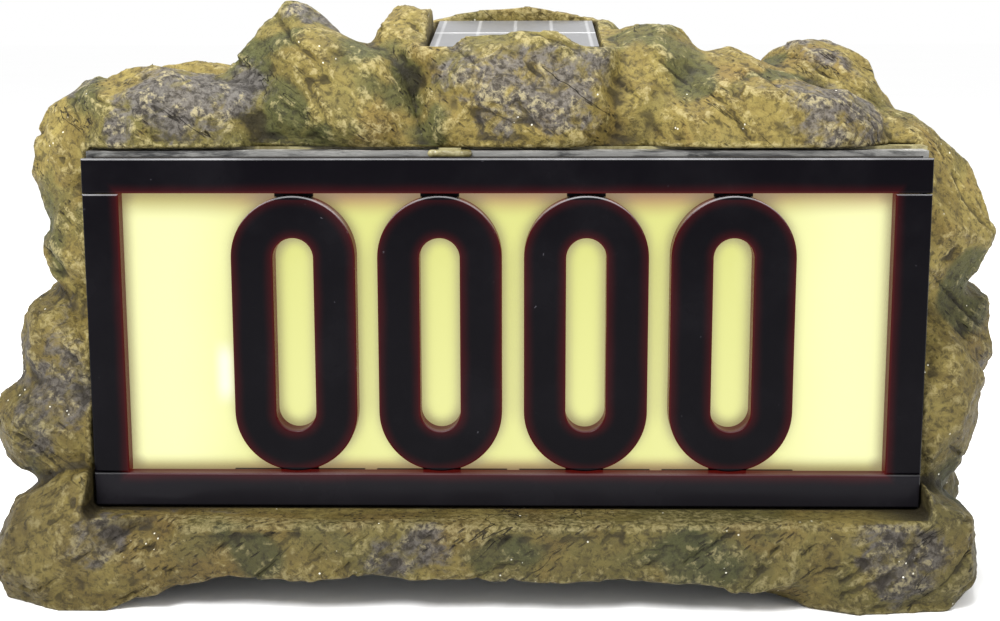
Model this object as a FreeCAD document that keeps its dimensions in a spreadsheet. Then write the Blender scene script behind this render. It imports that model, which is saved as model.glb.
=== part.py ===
"""Illuminated house number sign set in a hollow cast rock, with a solar panel in its crown.

The origin is the middle of the rock's footprint on the ground: +X to the viewer's right,
+Y to the back, +Z up. All sizes are millimetres and degrees.
"""
import FreeCAD, Part
import math
import os
import re

import Sketcher
from FreeCAD import Placement, Rotation, Vector

doc = FreeCAD.newDocument("HouseNumberSign")

# ---------------------------------------------------------------- driving dimensions
DIMENSIONS = [
    ("digit_height", 101.6, "height of a number, end to end"),
    ("digit_width", 45.0, "width of a number"),
    ("digit_stroke", 15.2, "width of the stroke that a number is drawn with"),
    ("digit_gap", 1.0, "gap between a number's end and the rail"),
    ("digit_pitch", 53.0, "spacing of the numbers, centre to centre"),
    ("row_offset", 2.7, "row of numbers, to the right of the sign's middle"),
    ("flange_width", 48.5, "width of the sliding flange at a number's ends"),
    ("flange_thick", 1.6, "thickness of the sliding flange"),
    ("flange_hold", 3.6, "depth of the flange behind the rail"),
    ("neck_width", 14.0, "width of the neck between a number and its flange"),
    ("neck_root", 0.8, "neck overlapping a number's rounded end"),
    ("slide_gap", 0.2, "clearance in front of and behind the flange"),
    ("opening_width", 278.4, "lit opening, between the stiles"),
    ("rail_height", 12.4, "height of the top and bottom rail"),
    ("stile_width", 13.0, "width of the left and right stile"),
    ("rail_thick", 6.0, "thickness of rails and stiles"),
    ("rail_round", 0.8, "rounding of the front edges of rails and stiles"),
    ("joint_gap", 0.3, "gap in the joint between a stile and a rail"),
    ("lug_inset", 1.2, "stile's lug inside the stile's edges"),
    ("diffuser_thick", 3.0, "thickness of the opal sheet"),
    ("diffuser_gap", 0.3, "clearance round the opal sheet"),
    ("tray_inset", 0.6, "tray inside the rails' outside, at the sides and below"),
    ("tray_rise", 2.4, "tray's top above the top rail"),
    ("tray_depth", 30.0, "depth of the tray behind the rails"),
    ("tray_wall", 2.0, "wall of the tray"),
    ("ledge_width", 3.0, "width of the ledge behind the opal sheet"),
    ("ledge_thick", 2.0, "thickness of that ledge"),
    ("reflector_thick", 0.8, "thickness of the white reflector"),
    ("reflector_lip", 9.0, "depth of the reflector's folded lips"),
    ("reflector_gap", 6.0, "reflector's end to the tray's end wall"),
    ("strip_length", 110.0, "height of a lamp board"),
    ("strip_width", 12.0, "width of a lamp board"),
    ("board_thick", 1.6, "thickness of the printed boards"),
    ("lamp_pitch", 26.0, "spacing of the lamps on a board"),
    ("lamp_radius", 2.5, "radius of a lamp"),
    ("lamp_barrel", 3.0, "length of a lamp's straight barrel"),
    ("sleeve_radius", 4.0, "radius of the hole for a cable sleeve"),
    ("sleeve_lip", 1.6, "width and thickness of a sleeve's lip"),
    ("sleeve_drop", 20.0, "tray's middle down to its cable sleeve"),
    ("side_margin", 40.8, "rock beyond the rails, each side"),
    ("sign_offset", 3.0, "sign's middle to the right of the rock's middle"),
    ("base_height", 34.3, "ground to the underside of the bottom rail"),
    ("crown_height", 56.3, "top rail to the top of the rock"),
    ("sill_depth", 24.0, "rock in front of the rails' face"),
    ("rear_depth", 112.0, "rails' face to the back of the rock"),
    ("sill_drop", 0.3, "sill below the underside of the bottom rail"),
    ("rock_wall", 6.0, "wall of the cast rock"),
    ("window_gap", 1.0, "gap between the rails and the rock"),
    ("sealant_start", 15.0, "rails' face to the ring of sealant"),
    ("sealant_depth", 10.0, "depth of the ring of sealant"),
    ("bead_length", 16.0, "length of the drop of sealant on the top rail"),
    ("bead_radius", 1.4, "radius of that drop's round ends"),
    ("bead_depth", 0.7, "middle of that drop in front of the tray"),
    ("bead_offset", 20.0, "drop of sealant, to the left of the sign's middle"),
    ("arch_height", 12.0, "clear height under the front and back skirts"),
    ("arch_left", 100.0, "middle to the left end of the arch, at full height"),
    ("arch_right", 72.0, "middle to the right end of the arch, at full height"),
    ("arch_run", 42.0, "length of the slope at each end of the arch"),
    ("solar_width", 62.0, "width of the solar panel"),
    ("solar_length", 72.0, "length of the solar panel, front to back"),
    ("solar_tilt", 7.8, "rise of the panel towards the back, in degrees"),
    ("solar_setback", 22.0, "rails' face to the panel's front edge"),
    ("solar_rise", 39.3, "top rail to the panel's top face, at its front edge"),
    ("solar_offset", 3.0, "panel's middle to the right of the sign's middle"),
    ("backing_thick", 1.6, "thickness of the panel's board"),
    ("cell_thick", 0.4, "thickness of the solar cells"),
    ("cell_margin", 2.5, "board showing round the solar cells"),
    ("cell_gap", 0.8, "gap between neighbouring solar cells"),
    ("ribbon_width", 1.6, "width of the solder ribbon across the cells"),
    ("ribbon_thick", 0.2, "thickness of the solder ribbon"),
    ("glazing_thick", 1.2, "thickness of the panel's clear cover"),
    ("tape_thick", 1.0, "thickness of the foam tape under the panel"),
    ("tape_width", 6.0, "width of the foam tape"),
    ("well_gap", 1.5, "gap round the panel in its well"),
    ("cover_width", 280.0, "width of the base cover"),
    ("cover_depth", 100.0, "depth of the base cover"),
    ("cover_thick", 2.5, "thickness of the base cover"),
    ("cover_seat", 14.0, "ground to the base cover's underside"),
    ("cover_gap", 0.6, "clearance round the base cover"),
    ("seat_reach", 9.0, "width of the rock's ledge over the base cover"),
    ("seat_depth", 9.0, "thickness of the rock's ledge"),
    ("screw_radius", 1.5, "shank radius of the cover screws"),
    ("screw_length", 9.0, "length of the cover screws under the head"),
    ("head_radius", 3.0, "head radius of the cover screws"),
    ("head_thick", 1.8, "head thickness of the cover screws"),
    ("screw_gap", 0.2, "clearance of a screw in its hole, in radius"),
    ("insert_wall", 1.0, "wall of the brass inserts"),
    ("insert_length", 6.0, "length of the brass inserts"),
    ("insert_hole", 7.0, "depth of the holes for the brass inserts"),
    ("cell_radius", 7.2, "radius of a rechargeable cell"),
    ("cell_length", 49.5, "length of a rechargeable cell, over its button"),
    ("button_length", 1.0, "length of a cell's button"),
    ("button_radius", 2.7, "radius of a cell's button"),
    ("cell_pitch", 15.2, "spacing of the rechargeable cells"),
    ("cell_room", 0.5, "clearance above, below and beside the cells"),
    ("contact_space", 3.0, "room for the contact at each end of a cell"),
    ("contact_plate", 8.0, "side of a contact's square plate"),
    ("contact_thick", 0.5, "thickness of a contact's plate"),
    ("spring_radius", 2.5, "radius of a contact's spring"),
    ("battery_x", -52.0, "middle of the battery box, along the rock"),
    ("battery_y", 8.0, "middle of the battery box, towards the back"),
    ("battery_wall", 1.6, "wall of the battery box"),
    ("door_thick", 2.0, "thickness of the battery door"),
    ("door_overlap", 3.0, "door beyond the battery opening, each side"),
    ("door_gap", 0.3, "clearance of the battery door in its guides"),
    ("door_travel", 60.0, "travel of the battery door"),
    ("door_ribs", 1.2, "height and width of the door's thumb ribs"),
    ("guide_wall", 1.8, "wall and lip thickness of the door's guides"),
    ("guide_lip", 2.4, "reach of the guides' lips under the door"),
    ("control_x", 88.0, "middle of the control board, along the rock"),
    ("control_length", 52.0, "length of the control board"),
    ("control_width", 34.0, "width of the control board"),
    ("post_height", 6.0, "height of the control board's posts"),
    ("post_radius", 3.0, "radius of the control board's posts"),
    ("post_inset", 4.0, "post's middle inside the board's edges"),
    ("board_screw", 1.0, "shank radius of the board's screws"),
    ("board_screw_length", 5.0, "length of the board's screws under the head"),
    ("chip_x", 6.5, "chip's left end from the board's middle"),
    ("chip_y", -8.5, "chip's front edge, from the rock's middle"),
    ("chip_length", 6.5, "length of the charging chip"),
    ("chip_width", 4.9, "width of the charging chip"),
    ("chip_thick", 1.6, "thickness of the charging chip"),
    ("coil_x", 13.0, "coil's middle from the board's middle"),
    ("coil_y", 4.3, "coil's middle, from the rock's middle"),
    ("coil_radius", 3.8, "radius of the coil that raises the lamps' voltage"),
    ("coil_height", 4.8, "height of that coil"),
    ("can_x", -13.0, "capacitor's middle from the board's middle"),
    ("can_y", -5.7, "capacitor's middle, from the rock's middle"),
    ("can_radius", 3.4, "radius of the smoothing capacitor"),
    ("can_height", 8.0, "height of the smoothing capacitor"),
    ("switch_y", -30.0, "middle of the switch, towards the back"),
    ("switch_length", 15.0, "length of the switch's case"),
    ("switch_width", 7.0, "width of the switch's case"),
    ("switch_height", 6.0, "height of the switch's case"),
    ("knob_length", 4.0, "length of the switch's knob, along its travel"),
    ("knob_width", 3.6, "width of the switch's knob"),
    ("knob_travel", 4.0, "travel of the switch's knob"),
    ("knob_gap", 0.3, "clearance round the switch's knob"),
    ("knob_hold", 2.5, "knob inside the switch's case"),
    ("knob_drop", 2.2, "knob below the base cover"),
    ("cable_radius", 1.3, "radius of the inner cables"),
    ("cable_bend", 9.0, "bend radius of the inner cables"),
]
DIGITS = 4
LAMPS = 4
SOLAR_CELLS = 4
CELLS = 3
RIBS = 5

# Sizes and places that follow from the driving ones.
WORKED = [
    ("opening_height", "digit_height + 2 * digit_gap"),
    ("sign_width", "opening_width + 2 * stile_width"),
    ("sign_height", "opening_height + 2 * rail_height"),
    ("sign_top", "base_height + sign_height"),
    ("sign_middle", "base_height + sign_height / 2"),
    ("rock_width", "sign_width + 2 * side_margin"),
    ("rock_depth", "sill_depth + rear_depth"),
    ("rock_height", "sign_top + crown_height"),
    ("face_front", "sill_depth - rock_depth / 2"),
    ("face_back", "face_front + rail_thick"),
    ("channel_depth", "flange_thick + 2 * slide_gap"),
    ("sheet_front", "face_back + channel_depth"),
    ("sheet_back", "sheet_front + diffuser_thick"),
    ("tray_back", "face_back + tray_depth"),
    ("tray_width", "sign_width - 2 * tray_inset"),
    ("tray_height", "sign_height + tray_rise - tray_inset"),
    ("tray_middle", "base_height + tray_inset + tray_height / 2"),
    ("tray_top", "sign_top + tray_rise"),
    ("tray_inner_width", "tray_width - 2 * tray_wall"),
    ("tray_inner_height", "tray_height - 2 * tray_wall"),
    ("strip_bottom", "sign_middle - strip_length / 2"),
    ("strip_front", "(sheet_back + ledge_thick + tray_back - tray_wall - strip_width) / 2"),
    ("strip_middle", "strip_front + strip_width / 2"),
    ("sleeve_height", "tray_middle - sleeve_drop"),
    ("window_width", "sign_width + 2 * window_gap"),
    ("window_height", "sign_height + tray_rise + 2 * window_gap"),
    ("window_top", "tray_top + window_gap"),
    ("solar_x", "sign_offset + solar_offset"),
    ("solar_y", "face_front + solar_setback"),
    ("solar_z", "sign_top + solar_rise"),
    ("solar_cells_top", "glazing_thick + ribbon_thick"),
    ("solar_board_top", "solar_cells_top + cell_thick"),
    ("solar_board_under", "solar_board_top + backing_thick"),
    ("well_depth", "solar_board_under + tape_thick"),
    ("well_middle", "solar_y + cos(solar_tilt) * solar_length / 2 + sin(solar_tilt) * well_depth"),
    ("well_floor", "solar_z + sin(solar_tilt) * solar_length / 2 - cos(solar_tilt) * well_depth"),
    ("cover_top", "cover_seat + cover_thick"),
    ("seat_top", "cover_top + seat_depth"),
    ("insert_radius", "screw_radius + insert_wall"),
    ("screw_across", "(cover_width - seat_reach) / 2"),
    ("screw_along", "(cover_depth - seat_reach) / 2"),
    ("cells_width", "2 * cell_pitch + 2 * cell_radius + 2 * cell_room"),
    ("cells_length", "cell_length + 2 * contact_space"),
    ("cells_middle", "cover_seat + cell_room + cell_radius"),
    ("cells_ceiling", "cells_middle + cell_radius + cell_room"),
    ("door_top", "cover_seat - door_gap"),
    ("door_length", "cells_length + 2 * door_overlap"),
    ("door_width", "cells_width + 2 * door_overlap"),
    ("guide_length", "door_length + door_travel"),
    ("control_top", "cover_top + post_height + board_thick"),
    ("slot_length", "knob_length + knob_travel + 2 * knob_gap"),
    ("slot_width", "knob_width + 2 * knob_gap"),
]
DRIVING = {alias for alias, number, note in DIMENSIONS}
FOLLOWING = {alias for alias, formula in WORKED}


def terms(text):
    """Puts the right sheet's name before each alias in an expression."""
    def named(match):
        word = match.group(0)
        if word in DRIVING:
            return "dims." + word
        if word in FOLLOWING:
            return "worked." + word
        return word
    return re.sub(r"[a-z_]+", named, text)


dims = doc.addObject("Spreadsheet::Sheet", "dims")
for row, (alias, number, note) in enumerate(DIMENSIONS, start=1):
    dims.set("A%d" % row, note)
    dims.set("B%d" % row, str(number))
    dims.setAlias("B%d" % row, alias)
doc.recompute()

worked = doc.addObject("Spreadsheet::Sheet", "worked")
for row, (alias, formula) in enumerate(WORKED, start=1):
    own_cells = terms(formula).replace("worked.", "")
    worked.set("A%d" % row, "=" + own_cells)
    worked.setAlias("A%d" % row, alias)
doc.recompute()


def size(alias):
    """The number that a cell of either sheet holds."""
    sheet = dims if alias in DRIVING else worked
    return float(sheet.get(alias))


# ---------------------------------------------------------------- building blocks
NODES = []


def keep(item, label):
    """Names an object as one of the sign's pieces."""
    item.Label = label
    NODES.append(item)
    return item


def bind(item, **bindings):
    """Binds properties to expressions; a double underscore stands for a dot."""
    for name, text in bindings.items():
        item.setExpression(name.replace("__", "."), terms(str(text)))
    return item


def place(item, x="0", y="0", z="0"):
    return bind(item, Placement__Base__x=x, Placement__Base__y=y, Placement__Base__z=z)


def block(name, x, y, z, wide, deep, high):
    """A box from its left, front, bottom corner."""
    item = doc.addObject("Part::Box", name)
    bind(item, Length=wide, Width=deep, Height=high)
    return place(item, x, y, z)


AXES = {"x": Rotation(Vector(0, 1, 0), 90), "y": Rotation(Vector(1, 0, 0), -90), "z": Rotation()}


def rod(name, x, y, z, radius, length, axis="z"):
    """A cylinder that starts at x, y, z and runs along one axis."""
    item = doc.addObject("Part::Cylinder", name)
    item.Placement = Placement(Vector(), AXES[axis])
    bind(item, Radius=radius, Height=length)
    return place(item, x, y, z)


def joined(name, items):
    item = doc.addObject("Part::MultiFuse", name)
    item.Shapes = items
    return item


def less(name, base, tools):
    item = doc.addObject("Part::Cut", name)
    item.Base = base
    item.Tool = tools[0] if len(tools) == 1 else joined(name + "_tools", tools)
    return item


def group(label, items):
    """Identical separate pieces that share one node."""
    item = doc.addObject("Part::Compound", label)
    item.Links = items
    return keep(item, label)


def body(label):
    return keep(doc.addObject("PartDesign::Body", label), label)


def drawing_on(piece, name, plane, offset="0"):
    """A sketch on one of the body's own planes; XZ looks along +Y, so its offset goes to -Y."""
    drawing = piece.newObject("Sketcher::SketchObject", name)
    for feature in piece.Origin.OriginFeatures:
        if feature.Role == plane + "_Plane":
            drawing.AttachmentSupport = [(feature, "")]
    drawing.MapMode = "FlatFace"
    return bind(drawing, AttachmentOffset__Base__z=offset)


def constrain(drawing, name, text, *constraint):
    """Adds a named constraint and binds its value."""
    index = drawing.addConstraint(Sketcher.Constraint(*constraint))
    drawing.renameConstraint(index, name)
    drawing.setExpression("Constraints." + name, terms(text))


def rectangle(drawing, tag, left, bottom, wide, high):
    """A rectangle from its lower left corner, on the sketch's axes."""
    corners = [Vector(0, 0, 0), Vector(9, 0, 0), Vector(9, 7, 0), Vector(0, 7, 0)]
    first = drawing.GeometryCount
    for side in range(4):
        drawing.addGeometry(Part.LineSegment(corners[side], corners[(side + 1) % 4]))
    for side in range(4):
        follower = first + (side + 1) % 4
        drawing.addConstraint(Sketcher.Constraint("Coincident", first + side, 2, follower, 1))
        way = "Vertical" if side % 2 else "Horizontal"
        drawing.addConstraint(Sketcher.Constraint(way, first + side))
    constrain(drawing, tag + "_left", left, "DistanceX", -1, 1, first, 1, 1.0)
    constrain(drawing, tag + "_bottom", bottom, "DistanceY", -1, 1, first, 1, 1.0)
    constrain(drawing, tag + "_wide", wide, "DistanceX", first, 1, first, 2, 9.0)
    constrain(drawing, tag + "_high", high, "DistanceY", first + 1, 1, first + 1, 2, 7.0)


def centred(drawing, tag, wide, high, x="0", y="0"):
    """A rectangle round a middle."""
    rectangle(drawing, tag, "%s - (%s) / 2" % (x, wide), "%s - (%s) / 2" % (y, high), wide, high)


def circle(drawing, tag, x, y, radius):
    first = drawing.addGeometry(Part.Circle(Vector(1, 1, 0), Vector(0, 0, 1), 2.0))
    constrain(drawing, tag + "_x", x, "DistanceX", -1, 1, first, 3, 1.0)
    constrain(drawing, tag + "_y", y, "DistanceY", -1, 1, first, 3, 1.0)
    constrain(drawing, tag + "_radius", radius, "Radius", first, 2.0)


def stadium(drawing, tag, wide, high):
    """An upright slot shape round the sketch's origin: two half circles and two lines."""
    radius = 10.0
    reach = 15.0
    top = Part.Circle(Vector(0, reach, 0), Vector(0, 0, 1), radius)
    foot = Part.Circle(Vector(0, -reach, 0), Vector(0, 0, 1), radius)
    first = drawing.addGeometry(Part.ArcOfCircle(top, 0, math.pi))
    drawing.addGeometry(Part.LineSegment(Vector(-radius, reach, 0), Vector(-radius, -reach, 0)))
    drawing.addGeometry(Part.ArcOfCircle(foot, math.pi, 2 * math.pi))
    drawing.addGeometry(Part.LineSegment(Vector(radius, -reach, 0), Vector(radius, reach, 0)))
    for side in range(4):
        follower = first + (side + 1) % 4
        drawing.addConstraint(Sketcher.Constraint("Tangent", first + side, 2, follower, 1))
    drawing.addConstraint(Sketcher.Constraint("Vertical", first + 1))
    drawing.addConstraint(Sketcher.Constraint("PointOnObject", first, 3, -2))
    drawing.addConstraint(Sketcher.Constraint("Symmetric", first, 3, first + 2, 3, -1, 1))
    constrain(drawing, tag + "_radius", "(%s) / 2" % wide, "Radius", first, radius)
    constrain(drawing, tag + "_reach", "(%s) - (%s)" % (high, wide),
              "DistanceY", first + 2, 3, first, 3, 2 * reach)


def pad(piece, name, drawing, length, backward=False):
    feature = piece.newObject("PartDesign::Pad", name)
    feature.Profile = drawing
    feature.Reversed = backward
    drawing.Visibility = False
    return bind(feature, Length=length)


def pocket(piece, name, drawing, length, backward=False):
    feature = piece.newObject("PartDesign::Pocket", name)
    feature.Profile = drawing
    feature.Reversed = backward
    drawing.Visibility = False
    return bind(feature, Length=length)


def round_front(piece, base, depth_alias):
    """Rounds the edges of the face that a viewer sees, at the given depth in front of y = 0."""
    doc.recompute()
    depth = -size(depth_alias)
    names = []
    for number, edge in enumerate(base.Shape.Edges, start=1):
        limits = edge.BoundBox
        if abs(limits.YMin - depth) < 0.001 and abs(limits.YMax - depth) < 0.001:
            names.append("Edge%d" % number)
    fillet = piece.newObject("PartDesign::Fillet", "front_round")
    fillet.Base = (base, names)
    return bind(fillet, Radius="rail_round")


# ---------------------------------------------------------------- the sign's frame
def make_rail(label, bottom):
    piece = place(body(label), "sign_offset", "face_back", bottom)
    outline = drawing_on(piece, label + "_outline", "XZ")
    rectangle(outline, "rail", "-sign_width / 2", "0", "sign_width", "rail_height")
    bar = pad(piece, label + "_bar", outline, "rail_thick")
    round_front(piece, bar, "rail_thick")


def make_stile(label, side):
    """An upright between the rails; its lug behind presses the opal sheet on its ledge."""
    middle = "sign_offset + (%d) * (opening_width + stile_width) / 2" % side
    piece = place(body(label), middle, "face_back", "sign_middle")
    outline = drawing_on(piece, label + "_outline", "XZ")
    centred(outline, "stile", "stile_width", "opening_height - 2 * joint_gap")
    bar = pad(piece, label + "_bar", outline, "rail_thick")
    round_front(piece, bar, "rail_thick")
    lug_outline = drawing_on(piece, label + "_lug_outline", "XZ")
    lug_wide = "stile_width - tray_inset - tray_wall - 2 * lug_inset"
    lug_middle = "(%d) * (tray_inset + tray_wall) / 2" % -side
    centred(lug_outline, "lug", lug_wide, "opening_height - 2 * flange_hold", lug_middle)
    pad(piece, label + "_lug", lug_outline, "channel_depth", backward=True)


def make_digit(number):
    """A nought: a ring with round ends, and a flange on a neck at each end, behind a rail."""
    label = "digit_%d" % number
    steps = number - (DIGITS + 1) / 2
    middle = "sign_offset + row_offset + digit_pitch * (%s)" % steps
    piece = place(body(label), middle, "face_back", "sign_middle")
    outline = drawing_on(piece, label + "_outline", "XZ", "-(slide_gap + flange_thick)")
    stadium(outline, "outer", "digit_width", "digit_height")
    stadium(outline, "inner", "digit_width - 2 * digit_stroke", "digit_height - 2 * digit_stroke")
    ring = pad(piece, label + "_ring", outline, "rail_thick + slide_gap + flange_thick")
    round_front(piece, ring, "rail_thick")
    back = "-(slide_gap + flange_thick)"
    necks = drawing_on(piece, label + "_necks", "XZ", back)
    flanges = drawing_on(piece, label + "_flanges", "XZ", back)
    tall = "neck_root + digit_gap"
    rectangle(necks, "upper", "-neck_width / 2", "digit_height / 2 - neck_root",
              "neck_width", tall)
    rectangle(necks, "lower", "-neck_width / 2", "-digit_height / 2 - digit_gap",
              "neck_width", tall)
    rectangle(flanges, "upper", "-flange_width / 2", "digit_height / 2 + digit_gap",
              "flange_width", "flange_hold")
    rectangle(flanges, "lower", "-flange_width / 2",
              "-digit_height / 2 - digit_gap - flange_hold", "flange_width", "flange_hold")
    pad(piece, label + "_neck", necks, "flange_thick")
    pad(piece, label + "_flange", flanges, "flange_thick")


# ---------------------------------------------------------------- the light box
def make_diffuser():
    piece = place(body("diffuser_panel"), "sign_offset", "sheet_back", "tray_middle")
    outline = drawing_on(piece, "diffuser_outline", "XZ")
    centred(outline, "sheet", "tray_inner_width - 2 * diffuser_gap",
            "tray_inner_height - 2 * diffuser_gap")
    pad(piece, "diffuser_sheet", outline, "diffuser_thick")


def make_tray():
    """An open tray with a ledge for the opal sheet and a cable hole in its back."""
    piece = place(body("light_box_tray"), "sign_offset", "tray_back", "tray_middle")
    outline = drawing_on(piece, "tray_outline", "XZ")
    centred(outline, "outer", "tray_width", "tray_height")
    pad(piece, "tray_block", outline, "tray_depth")
    inside = drawing_on(piece, "tray_inside", "XZ", "tray_depth")
    centred(inside, "inner", "tray_inner_width", "tray_inner_height")
    pocket(piece, "tray_hollow", inside, "tray_depth - tray_wall")
    ledge = drawing_on(piece, "tray_ledge", "XZ", "tray_back - sheet_back - ledge_thick")
    centred(ledge, "outer", "tray_inner_width + tray_wall", "tray_inner_height + tray_wall")
    centred(ledge, "inner", "tray_inner_width - 2 * ledge_width",
            "tray_inner_height - 2 * ledge_width")
    pad(piece, "sheet_ledge", ledge, "ledge_thick")
    hole = drawing_on(piece, "tray_hole", "XZ", "tray_wall")
    circle(hole, "cable", "control_x - sign_offset", "-sleeve_drop", "sleeve_radius")
    pocket(piece, "cable_hole", hole, "tray_wall")


def make_reflector():
    """A white sheet on the tray's back, folded forward along its long edges."""
    piece = place(body("back_reflector"), "sign_offset", "tray_back - tray_wall", "tray_middle")
    wide = "tray_inner_width - 2 * reflector_gap"
    high = "tray_inner_height - 2 * diffuser_gap"
    outline = drawing_on(piece, "reflector_outline", "XZ")
    centred(outline, "sheet", wide, high)
    circle(outline, "cable", "control_x - sign_offset", "-sleeve_drop", "sleeve_radius + 2 * sleeve_lip")
    pad(piece, "reflector_sheet", outline, "reflector_thick")
    lips = drawing_on(piece, "reflector_lips", "XZ")
    edge = "(tray_inner_height - 2 * diffuser_gap - reflector_thick) / 2"
    centred(lips, "upper", wide, "reflector_thick", "0", edge)
    centred(lips, "lower", wide, "reflector_thick", "0", "-" + edge)
    pad(piece, "reflector_fold", lips, "reflector_lip")


def make_lamp_board(side_name, side):
    """A board on the tray's end wall, and its lamps pointing along the box."""
    wall = "sign_offset + (%d) * tray_inner_width / 2" % side
    left = wall if side < 0 else wall + " - board_thick"
    board = block("strip_" + side_name, left, "strip_front", "strip_bottom",
                  "board_thick", "strip_width", "strip_length")
    keep(board, "led_board_" + side_name)
    lamps = []
    for number in range(LAMPS):
        high = "sign_middle + lamp_pitch * (%s)" % (number - (LAMPS - 1) / 2)
        name = "lamp_%s_%d" % (side_name, number)
        tip = wall + " + (%d) * (board_thick + lamp_barrel)" % -side
        foot = wall + " + board_thick" if side < 0 else tip
        barrel = rod(name + "_barrel", foot, "strip_middle", high,
                     "lamp_radius", "lamp_barrel", "x")
        dome = doc.addObject("Part::Sphere", name + "_dome")
        bind(dome, Radius="lamp_radius")
        place(dome, tip, "strip_middle", high)
        lamps.append(joined(name, [barrel, dome]))
    group("led_lamps_" + side_name, lamps)


def make_link_wire():
    """Joins the two lamp boards along the foot of the light box."""
    length = "tray_inner_width - 2 * board_thick"
    wire = rod("link", "sign_offset - (%s) / 2" % length, "strip_middle",
               "strip_bottom + 3 * cable_radius", "cable_radius", length, "x")
    keep(wire, "link_wire")


def make_tray_sleeve():
    """A rubber sleeve with a lip on each face of the tray's back."""
    at = ("control_x", "sleeve_height")
    barrel = rod("sleeve_barrel", at[0], "tray_back - tray_wall", at[1],
                 "sleeve_radius", "tray_wall", "y")
    front = rod("sleeve_front", at[0], "tray_back - tray_wall - sleeve_lip", at[1],
                "sleeve_radius + sleeve_lip", "sleeve_lip", "y")
    rear = rod("sleeve_rear", at[0], "tray_back", at[1],
               "sleeve_radius + sleeve_lip", "sleeve_lip", "y")
    bore = rod("sleeve_bore", at[0], "tray_back - tray_wall - 2 * sleeve_lip", at[1],
               "cable_radius", "tray_wall + 4 * sleeve_lip", "y")
    solid = joined("sleeve_solid", [barrel, front, rear])
    keep(less("tray_sleeve", solid, [bore]), "tray_sleeve")


def make_sealant():
    """The ring of glue between tray and rock; some ran forward and set on the top rail."""
    start = "face_front + sealant_start"
    left = "sign_offset - window_width / 2"
    outer = block("sealant_outer", left, start, "base_height - window_gap",
                  "window_width", "sealant_depth", "window_height")
    middle = "sign_offset - bead_offset"
    run = block("sealant_run", middle + " - bead_length / 4", "face_back", "tray_top",
                "bead_length / 2", "sealant_start - rail_thick", "window_gap")
    ahead = "face_back - bead_depth"
    high = "tray_top + window_gap / 2 - bead_radius"
    half = "(bead_length / 2 - bead_radius)"
    drop = [rod("bead", middle + " - " + half, ahead, high, "bead_radius", "2 * " + half, "x")]
    for name, sign in (("bead_left", " - "), ("bead_right", " + ")):
        end = doc.addObject("Part::Sphere", name)
        bind(end, Radius="bead_radius")
        drop.append(place(end, middle + sign + half, ahead, high))
    tray = block("sealant_inner", "sign_offset - tray_width / 2", "face_back",
                 "base_height + tray_inset", "tray_width", "tray_depth", "tray_height")
    mass = joined("sealant_mass", [outer, run] + drop)
    keep(less("window_sealant", mass, [tray]), "window_sealant")


# ---------------------------------------------------------------- the solar panel
def tilt(piece):
    """Puts a body on the panel's tilted top face, at the middle of its front edge."""
    piece.Placement = Placement(Vector(), Rotation(Vector(1, 0, 0), 1))
    bind(piece, Placement__Rotation__Angle="solar_tilt")
    return place(piece, "solar_x", "solar_y", "solar_z")


def make_solar_sheet(label, top, thick):
    piece = tilt(body(label))
    outline = drawing_on(piece, label + "_outline", "XY", "-(%s) - (%s)" % (top, thick))
    rectangle(outline, "sheet", "-solar_width / 2", "0", "solar_width", "solar_length")
    pad(piece, label + "_sheet", outline, thick)
    return piece


def make_solar_tape():
    """A rectangular ring of foam tape under the panel."""
    piece = tilt(body("solar_tape"))
    outline = drawing_on(piece, "tape_outline", "XY", "-well_depth")
    rectangle(outline, "outer", "-solar_width / 2", "0", "solar_width", "solar_length")
    rectangle(outline, "inner", "tape_width - solar_width / 2", "tape_width",
              "solar_width - 2 * tape_width", "solar_length - 2 * tape_width")
    pad(piece, "tape_ring", outline, "tape_thick")


def make_solar_cells():
    """Strips side by side on the board, and the ribbon that joins them across the middle."""
    strip = "(solar_width - 2 * cell_margin - %d * cell_gap) / %d" % (SOLAR_CELLS - 1, SOLAR_CELLS)
    strips = []
    for number in range(SOLAR_CELLS):
        cell = doc.addObject("PartDesign::Body", "cell_strip_%d" % (number + 1))
        tilt(cell)
        outline = drawing_on(cell, "strip_outline_%d" % (number + 1), "XY", "-solar_board_top")
        left = "-solar_width / 2 + cell_margin + %d * (%s + cell_gap)" % (number, strip)
        rectangle(outline, "strip", left, "cell_margin", strip, "solar_length - 2 * cell_margin")
        pad(cell, "strip_sheet_%d" % (number + 1), outline, "cell_thick")
        strips.append(cell)
    group("solar_cells", strips)
    ribbon = tilt(body("solar_ribbon"))
    outline = drawing_on(ribbon, "ribbon_outline", "XY", "-solar_cells_top")
    wide = "solar_width - 2 * cell_margin"
    rectangle(outline, "ribbon", "-(%s) / 2" % wide, "(solar_length - ribbon_width) / 2",
              wide, "ribbon_width")
    pad(ribbon, "ribbon_strip", outline, "ribbon_thick")


def make_solar_sleeve():
    """A straight sleeve for the panel's cable, in the floor of the well."""
    barrel = rod("lead_barrel", "solar_x", "well_middle", "well_floor - rock_wall - sleeve_lip",
                 "sleeve_radius", "rock_wall", "z")
    lip = rod("lead_lip", "solar_x", "well_middle", "well_floor - rock_wall - 2 * sleeve_lip",
              "sleeve_radius + sleeve_lip", "sleeve_lip", "z")
    bore = rod("lead_bore", "solar_x", "well_middle", "well_floor - rock_wall - 4 * sleeve_lip",
               "cable_radius", "rock_wall + 4 * sleeve_lip", "z")
    keep(less("solar_sleeve", joined("lead_solid", [barrel, lip]), [bore]), "solar_sleeve")


# ---------------------------------------------------------------- the base cover
SCREW_SIDES = [(side, end) for side in (1, 0, -1) for end in (1, -1)]


def screw_places():
    """Middles of the cover's screws: the corners, and the middle of each long side."""
    return [("(%d) * screw_across" % side, "(%d) * screw_along" % end)
            for side, end in SCREW_SIDES]


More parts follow.
